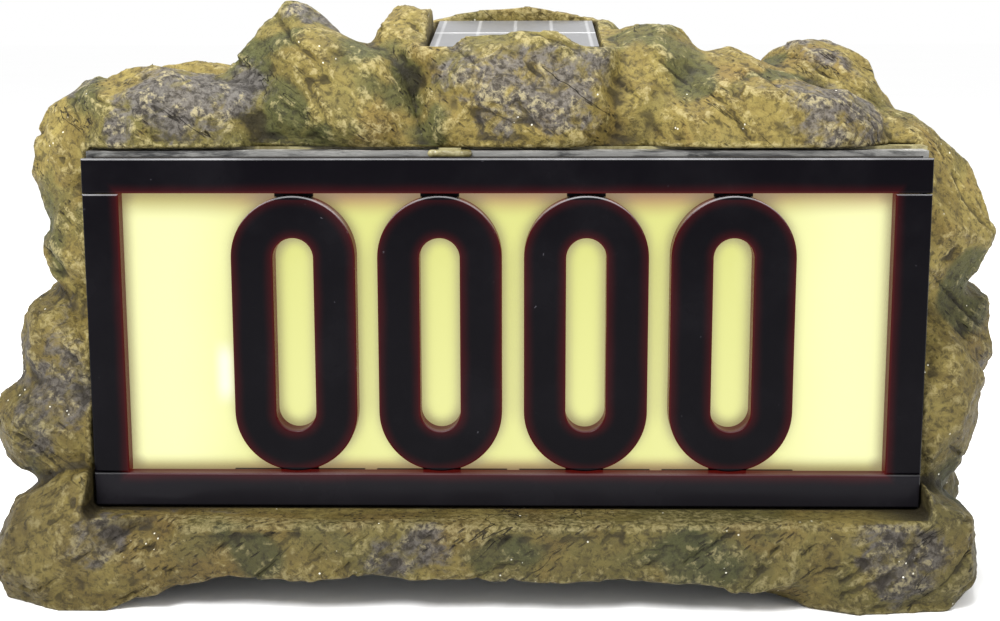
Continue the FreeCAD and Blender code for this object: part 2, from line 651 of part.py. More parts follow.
def make_base_cover():
    """The plate under the rock, with door guides below it and board posts above it."""
    piece = place(body("base_cover"), z="cover_seat")
    outline = drawing_on(piece, "cover_outline", "XY")
    centred(outline, "plate", "cover_width", "cover_depth")
    centred(outline, "battery", "cells_length", "cells_width", "battery_x", "battery_y")
    centred(outline, "slot", "slot_length", "slot_width", "control_x", "switch_y")
    for number, (x, y) in enumerate(screw_places()):
        circle(outline, "screw_%d" % number, x, y, "screw_radius + screw_gap")
    pad(piece, "cover_plate", outline, "cover_thick")
    walls = drawing_on(piece, "guide_walls", "XY")
    lips = drawing_on(piece, "guide_lips", "XY", "-(door_thick + 2 * door_gap)")
    start = "battery_x - door_length / 2"
    half = "door_width / 2 + door_gap"
    reach = "(guide_wall + door_gap + guide_lip)"
    rectangle(walls, "rear", start, "battery_y + " + half, "guide_length", "guide_wall")
    rectangle(walls, "front", start, "battery_y - (%s) - guide_wall" % half,
              "guide_length", "guide_wall")
    rectangle(lips, "rear", start, "battery_y + door_width / 2 - guide_lip",
              "guide_length", reach)
    rectangle(lips, "front", start, "battery_y - door_width / 2 - door_gap - guide_wall",
              "guide_length", reach)
    pad(piece, "guide_sides", walls, "door_thick + 2 * door_gap + guide_wall", backward=True)
    pad(piece, "guide_feet", lips, "guide_wall", backward=True)
    posts = drawing_on(piece, "posts", "XY", "cover_thick")
    for number, (x, y) in enumerate(post_places()):
        circle(posts, "post_%d" % number, x, y, "post_radius")
        circle(posts, "post_bore_%d" % number, x, y, "board_screw")
    pad(piece, "board_posts", posts, "post_height")


def post_places():
    """Middles of the control board's posts and screws."""
    return [("control_x + (%d) * (control_length / 2 - post_inset)" % side,
             "(%d) * (control_width / 2 - post_inset)" % end)
            for side in (1, -1) for end in (1, -1)]


def make_cover_screws():
    screws = []
    inserts = []
    for number, (x, y) in enumerate(screw_places()):
        head = rod("head_%d" % number, x, y, "cover_seat - head_thick", "head_radius", "head_thick")
        shank = rod("shank_%d" % number, x, y, "cover_seat", "screw_radius", "screw_length")
        cross = block("cross_%d" % number, x + " - head_radius / 2", y + " - screw_radius / 4",
                      "cover_seat - head_thick", "head_radius", "screw_radius / 2",
                      "head_thick / 2")
        screws.append(less("screw_%d" % number, joined("whole_%d" % number, [head, shank]), [cross]))
        sleeve = rod("insert_body_%d" % number, x, y, "cover_top", "insert_radius", "insert_length")
        bore = rod("insert_bore_%d" % number, x, y, "cover_top", "screw_radius", "insert_length")
        inserts.append(less("insert_%d" % number, sleeve, [bore]))
    group("cover_screws", screws)
    group("screw_inserts", inserts)


# ---------------------------------------------------------------- batteries
def make_battery_box():
    """A box open towards the door, standing on the base cover."""
    piece = place(body("battery_box"), "battery_x", "battery_y", "cover_top")
    outline = drawing_on(piece, "box_outline", "XY")
    centred(outline, "outer", "cells_length + 2 * battery_wall", "cells_width + 2 * battery_wall")
    pad(piece, "box_block", outline, "cells_ceiling + battery_wall - cover_top")
    inside = drawing_on(piece, "box_inside", "XY")
    centred(inside, "inner", "cells_length", "cells_width")
    pocket(piece, "box_hollow", inside, "cells_ceiling - cover_top", backward=True)


def make_cells():
    """Cells side by side, each between a spring and a stud on square plates."""
    contacts = []
    start = "battery_x - cells_length / 2"
    for number in range(CELLS):
        across = "battery_y + cell_pitch * (%d)" % (number - (CELLS - 1) // 2)
        label = "battery_cell_%d" % (number + 1)
        can = rod(label + "_can", start + " + contact_space", across, "cells_middle",
                  "cell_radius", "cell_length - button_length", "x")
        button = rod(label + "_button", start + " + contact_space + cell_length - button_length",
                     across, "cells_middle", "button_radius", "button_length", "x")
        keep(joined(label, [can, button]), label)
        for end, offset in (("tail", "0"), ("nose", "cells_length - contact_thick")):
            plate = block("plate_%s_%d" % (end, number), start + " + " + offset,
                          across + " - contact_plate / 2", "cells_middle - contact_plate / 2",
                          "contact_thick", "contact_plate", "contact_plate")
            tip = "contact_thick" if end == "tail" else "cells_length - contact_space"
            spring = rod("spring_%s_%d" % (end, number), start + " + " + tip, across,
                         "cells_middle", "spring_radius", "contact_space - contact_thick", "x")
            contacts.append(joined("contact_%s_%d" % (end, number), [plate, spring]))
    group("battery_contacts", contacts)


def make_battery_door():
    """A plate that slides under the base cover, with ribs for the thumb."""
    piece = place(body("battery_door"), "battery_x", "battery_y", "door_top - door_thick")
    outline = drawing_on(piece, "door_outline", "XY")
    centred(outline, "plate", "door_length", "door_width")
    pad(piece, "door_plate", outline, "door_thick")
    ribs = drawing_on(piece, "door_ribs", "XY")
    for number in range(RIBS):
        away = "door_length / 2 - door_ribs * %d" % (2 * RIBS - 2 * number + 2)
        rectangle(ribs, "rib_%d" % number, "-(%s)" % away, "-door_width / 6",
                  "door_ribs", "door_width / 3")
    pad(piece, "thumb_ribs", ribs, "door_ribs", backward=True)


# ---------------------------------------------------------------- control board and switch
def make_control_board():
    piece = place(body("control_board"), "control_x", "0", "control_top - board_thick")
    outline = drawing_on(piece, "board_outline", "XY")
    centred(outline, "board", "control_length", "control_width")
    for number, (x, y) in enumerate(post_places()):
        circle(outline, "bore_%d" % number, x + " - control_x", y, "board_screw + screw_gap")
    pad(piece, "board_sheet", outline, "board_thick")
    chip = block("chip", "control_x + chip_x", "chip_y", "control_top",
                 "chip_length", "chip_width", "chip_thick")
    keep(chip, "charge_chip")
    coil = rod("coil", "control_x + coil_x", "coil_y", "control_top", "coil_radius", "coil_height")
    keep(coil, "boost_coil")
    can = rod("can", "control_x + can_x", "can_y", "control_top", "can_radius", "can_height")
    keep(can, "smoothing_capacitor")
    screws = []
    for number, (x, y) in enumerate(post_places()):
        head = rod("board_head_%d" % number, x, y, "control_top", "2 * board_screw", "board_screw")
        shank = rod("board_shank_%d" % number, x, y, "control_top - board_screw_length",
                    "board_screw", "board_screw_length")
        screws.append(joined("board_screw_%d" % number, [head, shank]))
    group("board_screws", screws)


def make_switch():
    """A slide switch on the base cover; its knob hangs through the cover's slot."""
    case = block("case", "control_x - switch_length / 2", "switch_y - switch_width / 2",
                 "cover_top", "switch_length", "switch_width", "switch_height")
    slot = block("case_slot", "control_x - slot_length / 2", "switch_y - slot_width / 2",
                 "cover_top", "slot_length", "slot_width", "knob_hold + knob_gap")
    keep(less("switch_case", case, [slot]), "switch_case")
    knob = block("knob", "control_x - slot_length / 2 + knob_gap", "switch_y - knob_width / 2",
                 "cover_seat - knob_drop", "knob_length", "knob_width",
                 "knob_drop + cover_thick + knob_hold")
    keep(knob, "switch_knob")


# ---------------------------------------------------------------- inner cables
def make_cable(label, points):
    """A round cable along straight runs joined by tangent arcs."""
    radius = size("cable_radius")
    bend = size("cable_bend")
    edges = []
    start = points[0]
    for before, corner, after in zip(points, points[1:], points[2:]):
        coming = (corner - before).normalize()
        going = (after - corner).normalize()
        turn = coming.getAngle(going)
        cut = bend * math.tan(turn / 2)
        first = corner - coming * cut
        last = corner + going * cut
        inward = (going - coming).normalize()
        centre = corner + inward * (bend / math.cos(turn / 2))
        middle = centre - inward * bend
        edges.append(Part.LineSegment(start, first).toShape())
        edges.append(Part.Arc(first, middle, last).toShape())
        start = last
    edges.append(Part.LineSegment(start, points[-1]).toShape())
    path = Part.Wire(edges)
    ring = Part.Wire(Part.makeCircle(radius, points[0], points[1] - points[0]))
    item = doc.addObject("Part::Feature", label)
    item.Shape = path.makePipeShell([ring], True, False)
    keep(item, label)


def make_cables():
    board = size("control_top")
    run = size("battery_y")
    sleeve = size("sleeve_height")
    inner = size("sign_offset") + size("tray_inner_width") / 2 - size("board_thick")
    lane = size("strip_middle")
    column = size("control_x")
    make_cable("light_cable", [Vector(inner, lane, sleeve), Vector(column, lane, sleeve),
                               Vector(column, run, sleeve), Vector(column, run, board)])
    panel = Vector(size("solar_x"), size("well_middle"), size("well_floor"))
    beside = column - size("control_length") / 4
    low = board + 4 * size("cable_bend")
    make_cable("solar_cable", [panel, Vector(panel.x, panel.y, low),
                               Vector(beside, panel.y, low), Vector(beside, panel.y, board)])
    start = size("battery_x") + size("cells_length") / 2 + size("battery_wall")
    end = column - size("control_length") / 2
    level = board - size("board_thick") / 2
    make_cable("battery_cable", [Vector(start, 0, level), Vector(end, 0, level)])


# ---------------------------------------------------------------- the cast rock
NOMINAL = Vector(386, 136, 219)
FACETS = 34
ROUGHNESS = 0.09
TIGHTNESS = 0.95
# Each boulder: name, middle, half sizes, lean about Y in degrees, and the shape's power:
# 2 is an ellipsoid, less is boxier and more is pointed. Middles and half sizes are laid out
# on a rock of the nominal size and stretched to the real one.
BOULDERS = [
    ("core", (0, 14, 98), (172, 48, 90), 0, 1.25),
    ("left_foot", (-147, -34, 16), (47, 34, 27), 0, 1.6),
    ("right_foot", (138, -36, 16), (46, 32, 28), 0, 1.6),
    ("beam_left", (-76, -46, 22), (64, 24, 20), 0, 1.6),
    ("beam_middle", (2, -46, 21), (62, 26, 21), 0, 1.6),
    ("beam_right", (78, -45, 22), (60, 24, 22), 0, 1.6),
    ("rear_left_foot", (-128, 28, 24), (60, 42, 38), 0, 1.6),
    ("rear_right_foot", (126, 28, 24), (60, 42, 38), 0, 1.6),
    ("rear_base", (0, 36, 28), (100, 38, 42), 0, 1.6),
    ("left_knob", (-156, 2, 161), (22, 34, 33), 10, 1.8),
    ("left_upper", (-153, -6, 128), (19, 34, 25), 0, 1.8),
    ("left_middle", (-159, -8, 90), (27, 34, 24), 8, 1.8),
    ("left_lower", (-165, -16, 61), (31, 32, 23), 0, 1.8),
    ("right_shoulder", (150, 2, 132), (44, 40, 50), 0, 3.4),
    ("right_middle", (170, 20, 92), (28, 38, 25), 0, 1.8),
    ("right_front", (159, -12, 68), (26, 28, 36), 0, 1.8),
    ("right_lower", (160, 20, 30), (26, 36, 32), 0, 1.8),
    ("top_left", (-122, -16, 171), (41, 27, 26), 4, 1.8),
    ("peak", (-75, -2, 176), (36, 32, 46), -4, 3.0),
    ("peak_slope", (-54, -14, 180), (41, 27, 21), 42, 2.0),
    ("left_lip", (-31, 14, 186), (22, 42, 38), -8, 2.2),
    ("crown", (7, -20, 180), (40, 22, 28), 0, 1.7),
    ("right_lip", (54, 10, 180), (24, 44, 35), 20, 2.2),
    ("saddle", (84, 2, 172), (38, 36, 29), 0, 1.8),
    ("rear_right_top", (123, 26, 171), (38, 36, 35), 14, 2.2),
    ("top_right", (97, -17, 169), (53, 26, 24), 3, 2.0),
    ("rear_lip", (8, 52, 186), (60, 20, 31), 0, 1.6),
    ("rear_left_top", (-112, 30, 152), (54, 36, 43), 0, 1.7),
    ("rear_middle", (10, 40, 118), (84, 32, 60), 0, 1.7),
    ("rear_left", (-96, 34, 92), (66, 34, 56), 0, 1.7),
    ("rear_right", (102, 34, 100), (64, 34, 56), 0, 1.7),
]


def facet_directions(count, twist):
    """Unit vectors spread evenly round a sphere on a golden spiral."""
    golden = math.pi * (3 - math.sqrt(5))
    directions = []
    for number in range(count):
        high = 1 - 2 * (number + 0.5) / count
        around = golden * number + twist
        out = math.sqrt(1 - high * high)
        directions.append(Vector(out * math.cos(around), out * math.sin(around), high))
    return directions


def boulder_planes(number, boulder, inset):
    """The outward normal and the reach of each facet of one boulder."""
    name, middle, half, lean, power = boulder
    stretch = [size("rock_width") / NOMINAL.x, size("rock_depth") / NOMINAL.y,
               size("rock_height") / NOMINAL.z]
    centre = Vector(*[value * scale for value, scale in zip(middle, stretch)])
    half = [value * scale for value, scale in zip(half, stretch)]
    turn = Rotation(Vector(0, 1, 0), lean)
    planes = []
    for facet, way in enumerate(facet_directions(FACETS, 0.7 * number)):
        shares = [abs(value * part) ** power for value, part in zip(half, way)]
        reach = sum(shares) ** (1 / power)
        worn = 0.5 + 0.5 * math.sin(12.9898 * facet + 4.1 * number)
        normal = turn.multVec(way)
        reach = reach * (TIGHTNESS - ROUGHNESS * worn)
        planes.append((normal, normal.dot(centre) + reach - inset))
    return planes


def clipped(polygon, normal, reach):
    """The part of a polygon that lies behind a plane."""
    kept = []
    for index, here in enumerate(polygon):
        there = polygon[(index + 1) % len(polygon)]
        before = here.dot(normal) - reach
        after = there.dot(normal) - reach
        if before <= 0:
            kept.append(here)
        if before * after < 0:
            kept.append(here + (there - here) * (before / (before - after)))
    return kept


def without_doubles(polygon):
    """Drops corners that repeat the one before them."""
    corners = []
    for corner in polygon:
        if not corners or (corner - corners[-1]).Length > 0.0001:
            corners.append(corner)
    if len(corners) > 1 and (corners[0] - corners[-1]).Length <= 0.0001:
        corners.pop()
    return corners


def convex_solid(planes):
    """The solid that lies behind every plane."""
    large = 2000
    faces = []
    for index, (normal, reach) in enumerate(planes):
        helper = Vector(0, 0, 1) if abs(normal.z) < 0.9 else Vector(1, 0, 0)
        side = normal.cross(helper).normalize()
        rise = normal.cross(side)
        middle = normal * reach
        polygon = [middle + side * across * large + rise * along * large
                   for across, along in ((-1, -1), (1, -1), (1, 1), (-1, 1))]
        for other, (way, limit) in enumerate(planes):
            if other != index and len(polygon) > 2:
                polygon = clipped(polygon, way, limit)
        polygon = without_doubles(polygon)
        if len(polygon) > 2:
            faces.append(Part.Face(Part.makePolygon(polygon + [polygon[0]])))
    shell = Part.makeShell(faces)
    shell.sewShape()
    solid = Part.Solid(shell)
    if solid.Volume < 0:
        solid.reverse()
    return solid


def centred_box(wide, deep, low, high, x=0.0, y=0.0):
    return Part.makeBox(wide, deep, high - low, Vector(x - wide / 2, y - deep / 2, low))


def solar_block(margin, depth, rise):
    """A block on the panel's tilted axes, round its outline and down from its top face."""
    wide = size("solar_width") + 2 * margin
    long = size("solar_length") + 2 * margin
    solid = Part.makeBox(wide, long, depth + rise, Vector(-wide / 2, -margin, -depth))
    at = Vector(size("solar_x"), size("solar_y"), size("solar_z"))
    solid.Placement = Placement(at, Rotation(Vector(1, 0, 0), size("solar_tilt")))
    return solid


def arch_solid():
    """The gap between the feet, through the front and the back skirt."""
    high = size("arch_height")
    left = -size("arch_left")
    right = size("arch_right")
    run = size("arch_run")
    deep = size("rock_depth")
    below = -1.0
    corners = [(left - run, below), (left - run, 0), (left, high), (right, high),
               (right + run, 0), (right + run, below)]
    points = [Vector(x, -deep, z) for x, z in corners]
    face = Part.Face(Part.makePolygon(points + [points[0]]))
    return face.extrude(Vector(0, 2 * deep, 0))


def window_solid():
    """Room for the frame and the tray; the sill in front ends just under the bottom rail."""
    front = -size("rock_depth") / 2
    wide = size("window_width")
    low = size("base_height") - size("window_gap")
    high = size("window_top")
    sill = size("base_height") - size("sill_drop")
    back = size("tray_back") + size("window_gap")
    left = size("sign_offset") - wide / 2
    lip = size("face_front") - size("window_gap")
    before = Part.makeBox(wide, lip - front, high - sill, Vector(left, front, sill))
    return before.fuse(Part.makeBox(wide, back - lip, high - low, Vector(left, lip, low)))


def window_rim():
    """The rock round the window, as far back as the glue reaches."""
    wall = size("rock_wall")
    front = -size("rock_depth") / 2
    wide = size("window_width") + 2 * wall
    low = size("base_height") - size("window_gap") - wall
    deep = size("face_front") + size("sealant_start") + size("sealant_depth") - front
    corner = Vector(size("sign_offset") - wide / 2, front, low)
    return Part.makeBox(wide, deep, size("window_top") + wall - low, corner)


def make_rock():
    """A hollow cast mass of boulders, open below for the base cover."""
    wide = size("rock_width")
    deep = size("rock_depth")
    high = size("rock_height")
    wall = size("rock_wall")
    gap = size("cover_gap")
    outside = []
    inside = []
    for number, boulder in enumerate(BOULDERS):
        outside.append(convex_solid(boulder_planes(number, boulder, 0.0)))
        inside.append(convex_solid(boulder_planes(number, boulder, wall)))
    well_seat = solar_block(size("well_gap") + wall, size("well_depth") + wall, 0.0)
    corners = [edge for edge in well_seat.Edges if edge.Length < size("well_depth") + 2 * wall]
    well_seat = well_seat.makeChamfer(wall, corners)
    mass = outside[0].fuse(outside[1:] + [well_seat])
    mass = mass.common(centred_box(wide, deep, 0, high))
    cavity = inside[0].fuse(inside[1:])
    cavity = cavity.common(centred_box(wide, deep - 2 * wall, size("seat_top"), high))
    cavity = cavity.cut([solar_block(size("well_gap") + wall, size("well_depth") + wall, high),
                         window_rim()])
    cavity = max(cavity.Solids, key=lambda solid: solid.Volume)
    reach = 2 * size("seat_reach")
    recess = centred_box(size("cover_width") + 2 * gap, size("cover_depth") + 2 * gap,
                         -1.0, size("cover_top"))
    ceiling = size("cells_ceiling") + size("battery_wall") + gap
    throat = centred_box(size("cover_width") - reach, size("cover_depth") - reach,
                         0.0, max(size("seat_top"), ceiling))
    well = solar_block(size("well_gap"), size("well_depth"), high)
    hole = Part.makeCylinder(size("sleeve_radius"), 4 * wall,
                             Vector(size("solar_x"), size("well_middle"),
                                    size("well_floor") - 2 * wall))
    lip = size("sleeve_lip")
    under = Vector(size("solar_x"), size("well_middle"), size("well_floor") - 5 * wall - lip)
    lead_room = Part.makeCylinder(size("sleeve_radius") + 2 * lip, 4 * wall, under)
    tools = [cavity, recess, throat, window_solid(), well, hole, lead_room, arch_solid()]
    for side, end in SCREW_SIDES:
        mouth = Vector(side * size("screw_across"), end * size("screw_along"), size("cover_top"))
        tools.append(Part.makeCylinder(size("insert_radius"), size("insert_hole"), mouth))
    shell = mass.cut(tools)
    item = doc.addObject("Part::Feature", "rock_shell")
    item.Shape = max(shell.Solids, key=lambda solid: solid.Volume)
    keep(item, "rock_shell")


# ---------------------------------------------------------------- the whole sign
make_rail("bottom_rail", "base_height")
make_rail("top_rail", "sign_top - rail_height")
make_stile("left_stile", -1)
make_stile("right_stile", 1)
for number in range(1, DIGITS + 1):
    make_digit(number)
make_diffuser()
make_tray()
make_reflector()
make_lamp_board("left", -1)
make_lamp_board("right", 1)
make_link_wire()
make_tray_sleeve()
make_sealant()
make_solar_tape()
make_solar_sheet("solar_backing", "solar_board_top", "backing_thick")
make_solar_cells()
make_solar_sheet("solar_glazing", "0", "glazing_thick")
make_solar_sleeve()
make_base_cover()
make_cover_screws()
make_battery_box()
make_cells()
make_battery_door()
make_control_board()
make_switch()
make_cables()
make_rock()
doc.recompute()

# ---------------------------------------------------------------- check and write
for item in doc.Objects:
    if "Invalid" in item.State or "Error" in item.State:
        raise RuntimeError("%s failed: %s" % (item.Label, item.State))
for item in NODES:
    if item.Shape.isNull() or not item.Shape.isValid():
        raise RuntimeError("%s has no valid shape" % item.Label)
os.makedirs("parts", exist_ok=True)
for item in NODES:
    item.Shape.exportStep("parts/%s.step" % item.Label)
    solids = item.Shape.Solids
    print("%-20s solids %2d  volume %10.1f  box %s" % (
        item.Label, len(solids), sum(solid.Volume for solid in solids),
        [round(value, 2) for value in (item.Shape.BoundBox.XMin, item.Shape.BoundBox.XMax,
                                       item.Shape.BoundBox.YMin, item.Shape.BoundBox.YMax,
                                       item.Shape.BoundBox.ZMin, item.Shape.BoundBox.ZMax)]))
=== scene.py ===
# %% [markdown]
# # A lit house number sign in a cast rock
#
# The sign is a hollow rock, cast in resin and painted by hand. A dark acrylic frame with
# four sliding noughts closes a light box in its front, and a solar panel lies in its crown.
# The construction comes in as a finished frame of parts, in metres. This lesson gives each
# part its finish, and turns the plain boulders of the casting into weathered stone.

import math
from types import SimpleNamespace

import bpy
import numpy as np
from mathutils import Matrix, Vector, noise


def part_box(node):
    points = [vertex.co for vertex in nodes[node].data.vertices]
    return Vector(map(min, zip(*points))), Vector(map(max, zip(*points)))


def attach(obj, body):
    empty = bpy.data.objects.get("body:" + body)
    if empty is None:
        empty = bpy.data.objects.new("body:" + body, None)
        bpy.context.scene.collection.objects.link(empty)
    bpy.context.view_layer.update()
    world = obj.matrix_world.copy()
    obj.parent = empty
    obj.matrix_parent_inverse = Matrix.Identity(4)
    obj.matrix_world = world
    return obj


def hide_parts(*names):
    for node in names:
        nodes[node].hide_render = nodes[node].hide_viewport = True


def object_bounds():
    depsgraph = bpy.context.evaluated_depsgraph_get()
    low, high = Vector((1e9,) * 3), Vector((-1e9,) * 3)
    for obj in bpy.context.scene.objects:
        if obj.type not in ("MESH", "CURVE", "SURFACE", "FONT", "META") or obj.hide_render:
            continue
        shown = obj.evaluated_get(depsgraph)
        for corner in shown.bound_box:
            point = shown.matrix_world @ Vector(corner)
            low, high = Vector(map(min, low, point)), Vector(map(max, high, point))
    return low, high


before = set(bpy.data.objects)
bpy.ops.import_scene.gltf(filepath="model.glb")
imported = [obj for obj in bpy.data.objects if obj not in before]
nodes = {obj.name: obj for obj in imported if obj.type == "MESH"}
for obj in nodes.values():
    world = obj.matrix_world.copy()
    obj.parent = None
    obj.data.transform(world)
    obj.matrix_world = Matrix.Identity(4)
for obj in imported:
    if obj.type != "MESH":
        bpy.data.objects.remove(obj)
cad_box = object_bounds()
MM = 0.001

# %% [markdown]
# ## Places read from the parts
#
# Nothing is measured twice. The middle of the sign, its face and the edges of the lit
# opening are read from the parts' own boxes, so that a pattern stays on the piece that it
# belongs to when a size changes.

# %% Places on the sign
rail_low, rail_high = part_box("top_rail")
sill_low, sill_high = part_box("bottom_rail")
stile_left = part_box("left_stile")
stile_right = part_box("right_stile")
SIGN_X = (rail_low[0] + rail_high[0]) / 2
SIGN_Z = (sill_low[2] + rail_high[2]) / 2
FACE_Y = rail_low[1]
OPENING_LEFT = stile_left[1][0]
OPENING_RIGHT = stile_right[0][0]
OPENING_LOW = sill_high[2]
OPENING_HIGH = rail_low[2]
DIGITS = ["digit_1", "digit_2", "digit_3", "digit_4"]
print("sign middle", round(SIGN_X, 4), round(SIGN_Z, 4))

# %% [markdown]
# ## The camera
#
# The picture was taken from about 60 cm away, a little above the sign and a little to the
# right of its middle, looking down by ten degrees. The lens is a short portrait lens.

# %% Camera
CAMERA_PLACE = Vector((11.49, -614.41, 206.65)) * MM
CAMERA_FORWARD = Vector((-0.01804, 0.98518, -0.17058))
CAMERA_UP = Vector((-0.00126, 0.17059, 0.98534))
LENS_MM = 57.6
SENSOR_MM = 36.0

camera_data = bpy.data.cameras.new("camera")
camera_data.lens = LENS_MM
camera_data.sensor_width = SENSOR_MM
camera = bpy.data.objects.new("camera", camera_data)
bpy.context.scene.collection.objects.link(camera)
side = CAMERA_FORWARD.cross(CAMERA_UP).normalized()
turn = Matrix((side, side.cross(CAMERA_FORWARD), -CAMERA_FORWARD)).transposed()
camera.matrix_world = Matrix.Translation(CAMERA_PLACE) @ turn.to_4x4()
bpy.context.scene.camera = camera
print("camera with a lens of", LENS_MM, "mm")

# %% [markdown]
# ## Shader maths as sentences
#
# A `Wire` is the output of one node. Adding or multiplying wires adds Math nodes, so a
# mask reads like the formula that it is.

# %% Wire


class Wire:
    """One output socket, with the sums that a mask needs."""

    def __init__(self, finish, socket):
        self.finish = finish
        self.socket = socket

    def sum(self, operation, first, second=None):
        values = [first] if second is None else [first, second]
        return self.finish.node("ShaderNodeMath", {"operation": operation}, values)

    def __add__(self, other):
        return self.sum("ADD", self, other)

    def __radd__(self, other):
        return self.sum("ADD", other, self)

    def __sub__(self, other):
        return self.sum("SUBTRACT", self, other)

    def __rsub__(self, other):
        return self.sum("SUBTRACT", other, self)

    def __mul__(self, other):
        return self.sum("MULTIPLY", self, other)

    def __rmul__(self, other):
        return self.sum("MULTIPLY", other, self)

    def __truediv__(self, other):
        return self.sum("DIVIDE", self, other)

    def __pow__(self, other):
        return self.sum("POWER", self, other)

    def abs(self):
        return self.sum("ABSOLUTE", self)

    def root(self):
        return self.sum("SQRT", self)

    def above(self, other):
        return self.sum("MAXIMUM", self, other)

    def below(self, other):
        return self.sum("MINIMUM", self, other)


# %% [markdown]
# ## One material in the making
#
# A `Finish` is one material: it makes nodes, and connects what varies over the surface.
# Values that are the same all over are set on the shader itself. Patterns lie in the
# piece's own coordinates, so that they stay on it when it moves.

# %% Finish


class Finish:
    """A material in the making."""

    def __init__(self, name, **constants):
        self.material = bpy.data.materials.new(name)
        self.material.use_nodes = True
        self.tree = self.material.node_tree
        self.shader = self.tree.nodes["Principled BSDF"]
        for key, value in constants.items():
            self.shader.inputs[key.replace("_", " ")].default_value = value
        place = self.node("ShaderNodeTexCoord", out="Object")
        self.place = place
        split = self.tree.nodes.new("ShaderNodeSeparateXYZ")
        self.tree.links.new(place.socket, split.inputs[0])
        self.x, self.y, self.z = (Wire(self, split.outputs[k]) for k in range(3))

    def node(self, kind, settings=None, values=(), out=0):
        """Makes one node: settings first, then its inputs' values or links."""
        made = self.tree.nodes.new(kind)
        for key, value in (settings or {}).items():
            setattr(made, key, value)
        pairs = values.items() if isinstance(values, dict) else enumerate(values)
        for key, value in pairs:
            if isinstance(value, Wire):
                self.tree.links.new(value.socket, made.inputs[key])
            else:
                made.inputs[key].default_value = value
        return Wire(self, made.outputs[out])

    def stretched(self, lengths, turn=(0, 0, 0)):
        """Coordinates that stretch a pattern along the piece's own axes, or turned ones."""
        return self.node("ShaderNodeMapping", {"vector_type": "TEXTURE"},
                         {"Vector": self.place, "Rotation": turn, "Scale": lengths})

    def upward(self):
        """1 where the surface looks straight up, 0 on a wall, -1 underneath."""
        normal = self.node("ShaderNodeNewGeometry", out="Normal")
        split = self.tree.nodes.new("ShaderNodeSeparateXYZ")
        self.tree.links.new(normal.socket, split.inputs[0])
        return Wire(self, split.outputs[2])

    def noise(self, size, detail=4.0, rough=0.5, warp=0.0, at=None):
        """Noise whose blotches are about `size` metres across."""
        return self.node("ShaderNodeTexNoise", {}, {
            "Vector": at or self.place, "Scale": 0.5 / size, "Detail": detail,
            "Roughness": rough, "Distortion": warp})

    def cells(self, size, feature="F1", at=None, out="Distance"):
        return self.node("ShaderNodeTexVoronoi", {"feature": feature}, {
            "Vector": at or self.place, "Scale": 1.0 / size}, out)

    def painted(self, name):
        """A value that was painted on the piece's own points."""
        return self.node("ShaderNodeAttribute", {"attribute_name": name}, (), "Fac")

    def step(self, value, low, high, start=0.0, end=1.0):
        """A soft step from `start` to `end` as the value goes from low to high."""
        return self.node("ShaderNodeMapRange", {"interpolation_type": "SMOOTHSTEP"},
                         [value, low, high, start, end])

    def mix(self, share, first, second, way="MIX"):
        """Blends two colours by a share from 0 to 1."""
        made = self.tree.nodes.new("ShaderNodeMix")
        made.data_type = "RGBA"
        made.blend_type = way
        for socket, value in ((made.inputs[0], share), (made.inputs[6], first),
                              (made.inputs[7], second)):
            if isinstance(value, Wire):
                self.tree.links.new(value.socket, socket)
            elif isinstance(value, tuple):
                socket.default_value = (*value, 1.0)
            else:
                socket.default_value = value
        return Wire(self, made.outputs[2])

    def feed(self, **wires):
        for key, wire in wires.items():
            self.tree.links.new(wire.socket, self.shader.inputs[key.replace("_", " ")])
        return self

    def bump(self, height, depth, strength=1.0):
        """Relief of `depth` metres, read by the shader's normal."""
        made = self.node("ShaderNodeBump", {}, {"Height": height, "Distance": depth,
                                                "Strength": strength}, "Normal")
        return self.feed(Normal=made)


def dress(finish, *names):
    """Gives finished parts their material."""
    for name in names:
        for slot in nodes[name].material_slots:
            slot.material = finish.material
    print("dressed", *names)


# %% [markdown]
# ## The stone, step 1: one skin
#
# The casting comes as a pile of plain boulders with flat facets. A copy of it is wrapped in
# one even skin of small faces, as a sculptor would do before carving, because carving needs
# points everywhere. The hidden hollow inside needs no detail, so it is thinned again later.

# %% Copy and wrap the casting
SKIN = 1.45 * MM
SAME_POINT = 1e-6


def only(piece):
    """Selects one piece and makes it active."""
    bpy.ops.object.select_all(action="DESELECT")
    piece.select_set(True)
    bpy.context.view_layer.objects.active = piece


def applied(piece, kind, **settings):
    """Adds a modifier, sets it up and applies it."""
    only(piece)
    changer = piece.modifiers.new(kind.lower(), kind)
    for key, value in settings.items():
        setattr(changer, key, value)
    bpy.ops.object.modifier_apply(modifier=changer.name)


def merged_copy(node, name):
    """A copy of a part's mesh with its loose triangles joined."""
    mesh = nodes[node].data.copy()
    piece = bpy.data.objects.new(name, mesh)
    bpy.context.scene.collection.objects.link(piece)
    only(piece)
    bpy.ops.object.mode_set(mode="EDIT")
    bpy.ops.mesh.select_all(action="SELECT")
    bpy.ops.mesh.remove_doubles(threshold=SAME_POINT)
    bpy.ops.object.mode_set(mode="OBJECT")
    return piece


def points_of(piece):
    """The piece's points, as rows of x, y, z."""
    flat = np.empty(len(piece.data.vertices) * 3)
    piece.data.vertices.foreach_get("co", flat)
    return flat.reshape(-1, 3)


def normals_of(piece):
    """The directions in which the piece's points look."""
    flat = np.empty(len(piece.data.vertices) * 3)
    piece.data.vertex_normals.foreach_get("vector", flat)
    return flat.reshape(-1, 3)


def move_points(piece, points):
    piece.data.vertices.foreach_set("co", np.ascontiguousarray(points).ravel())
    piece.data.update()


rock = merged_copy("rock_shell", "carved_rock")
applied(rock, "REMESH", mode="VOXEL", voxel_size=SKIN, adaptivity=0.0)
print("skin points", len(rock.data.vertices))

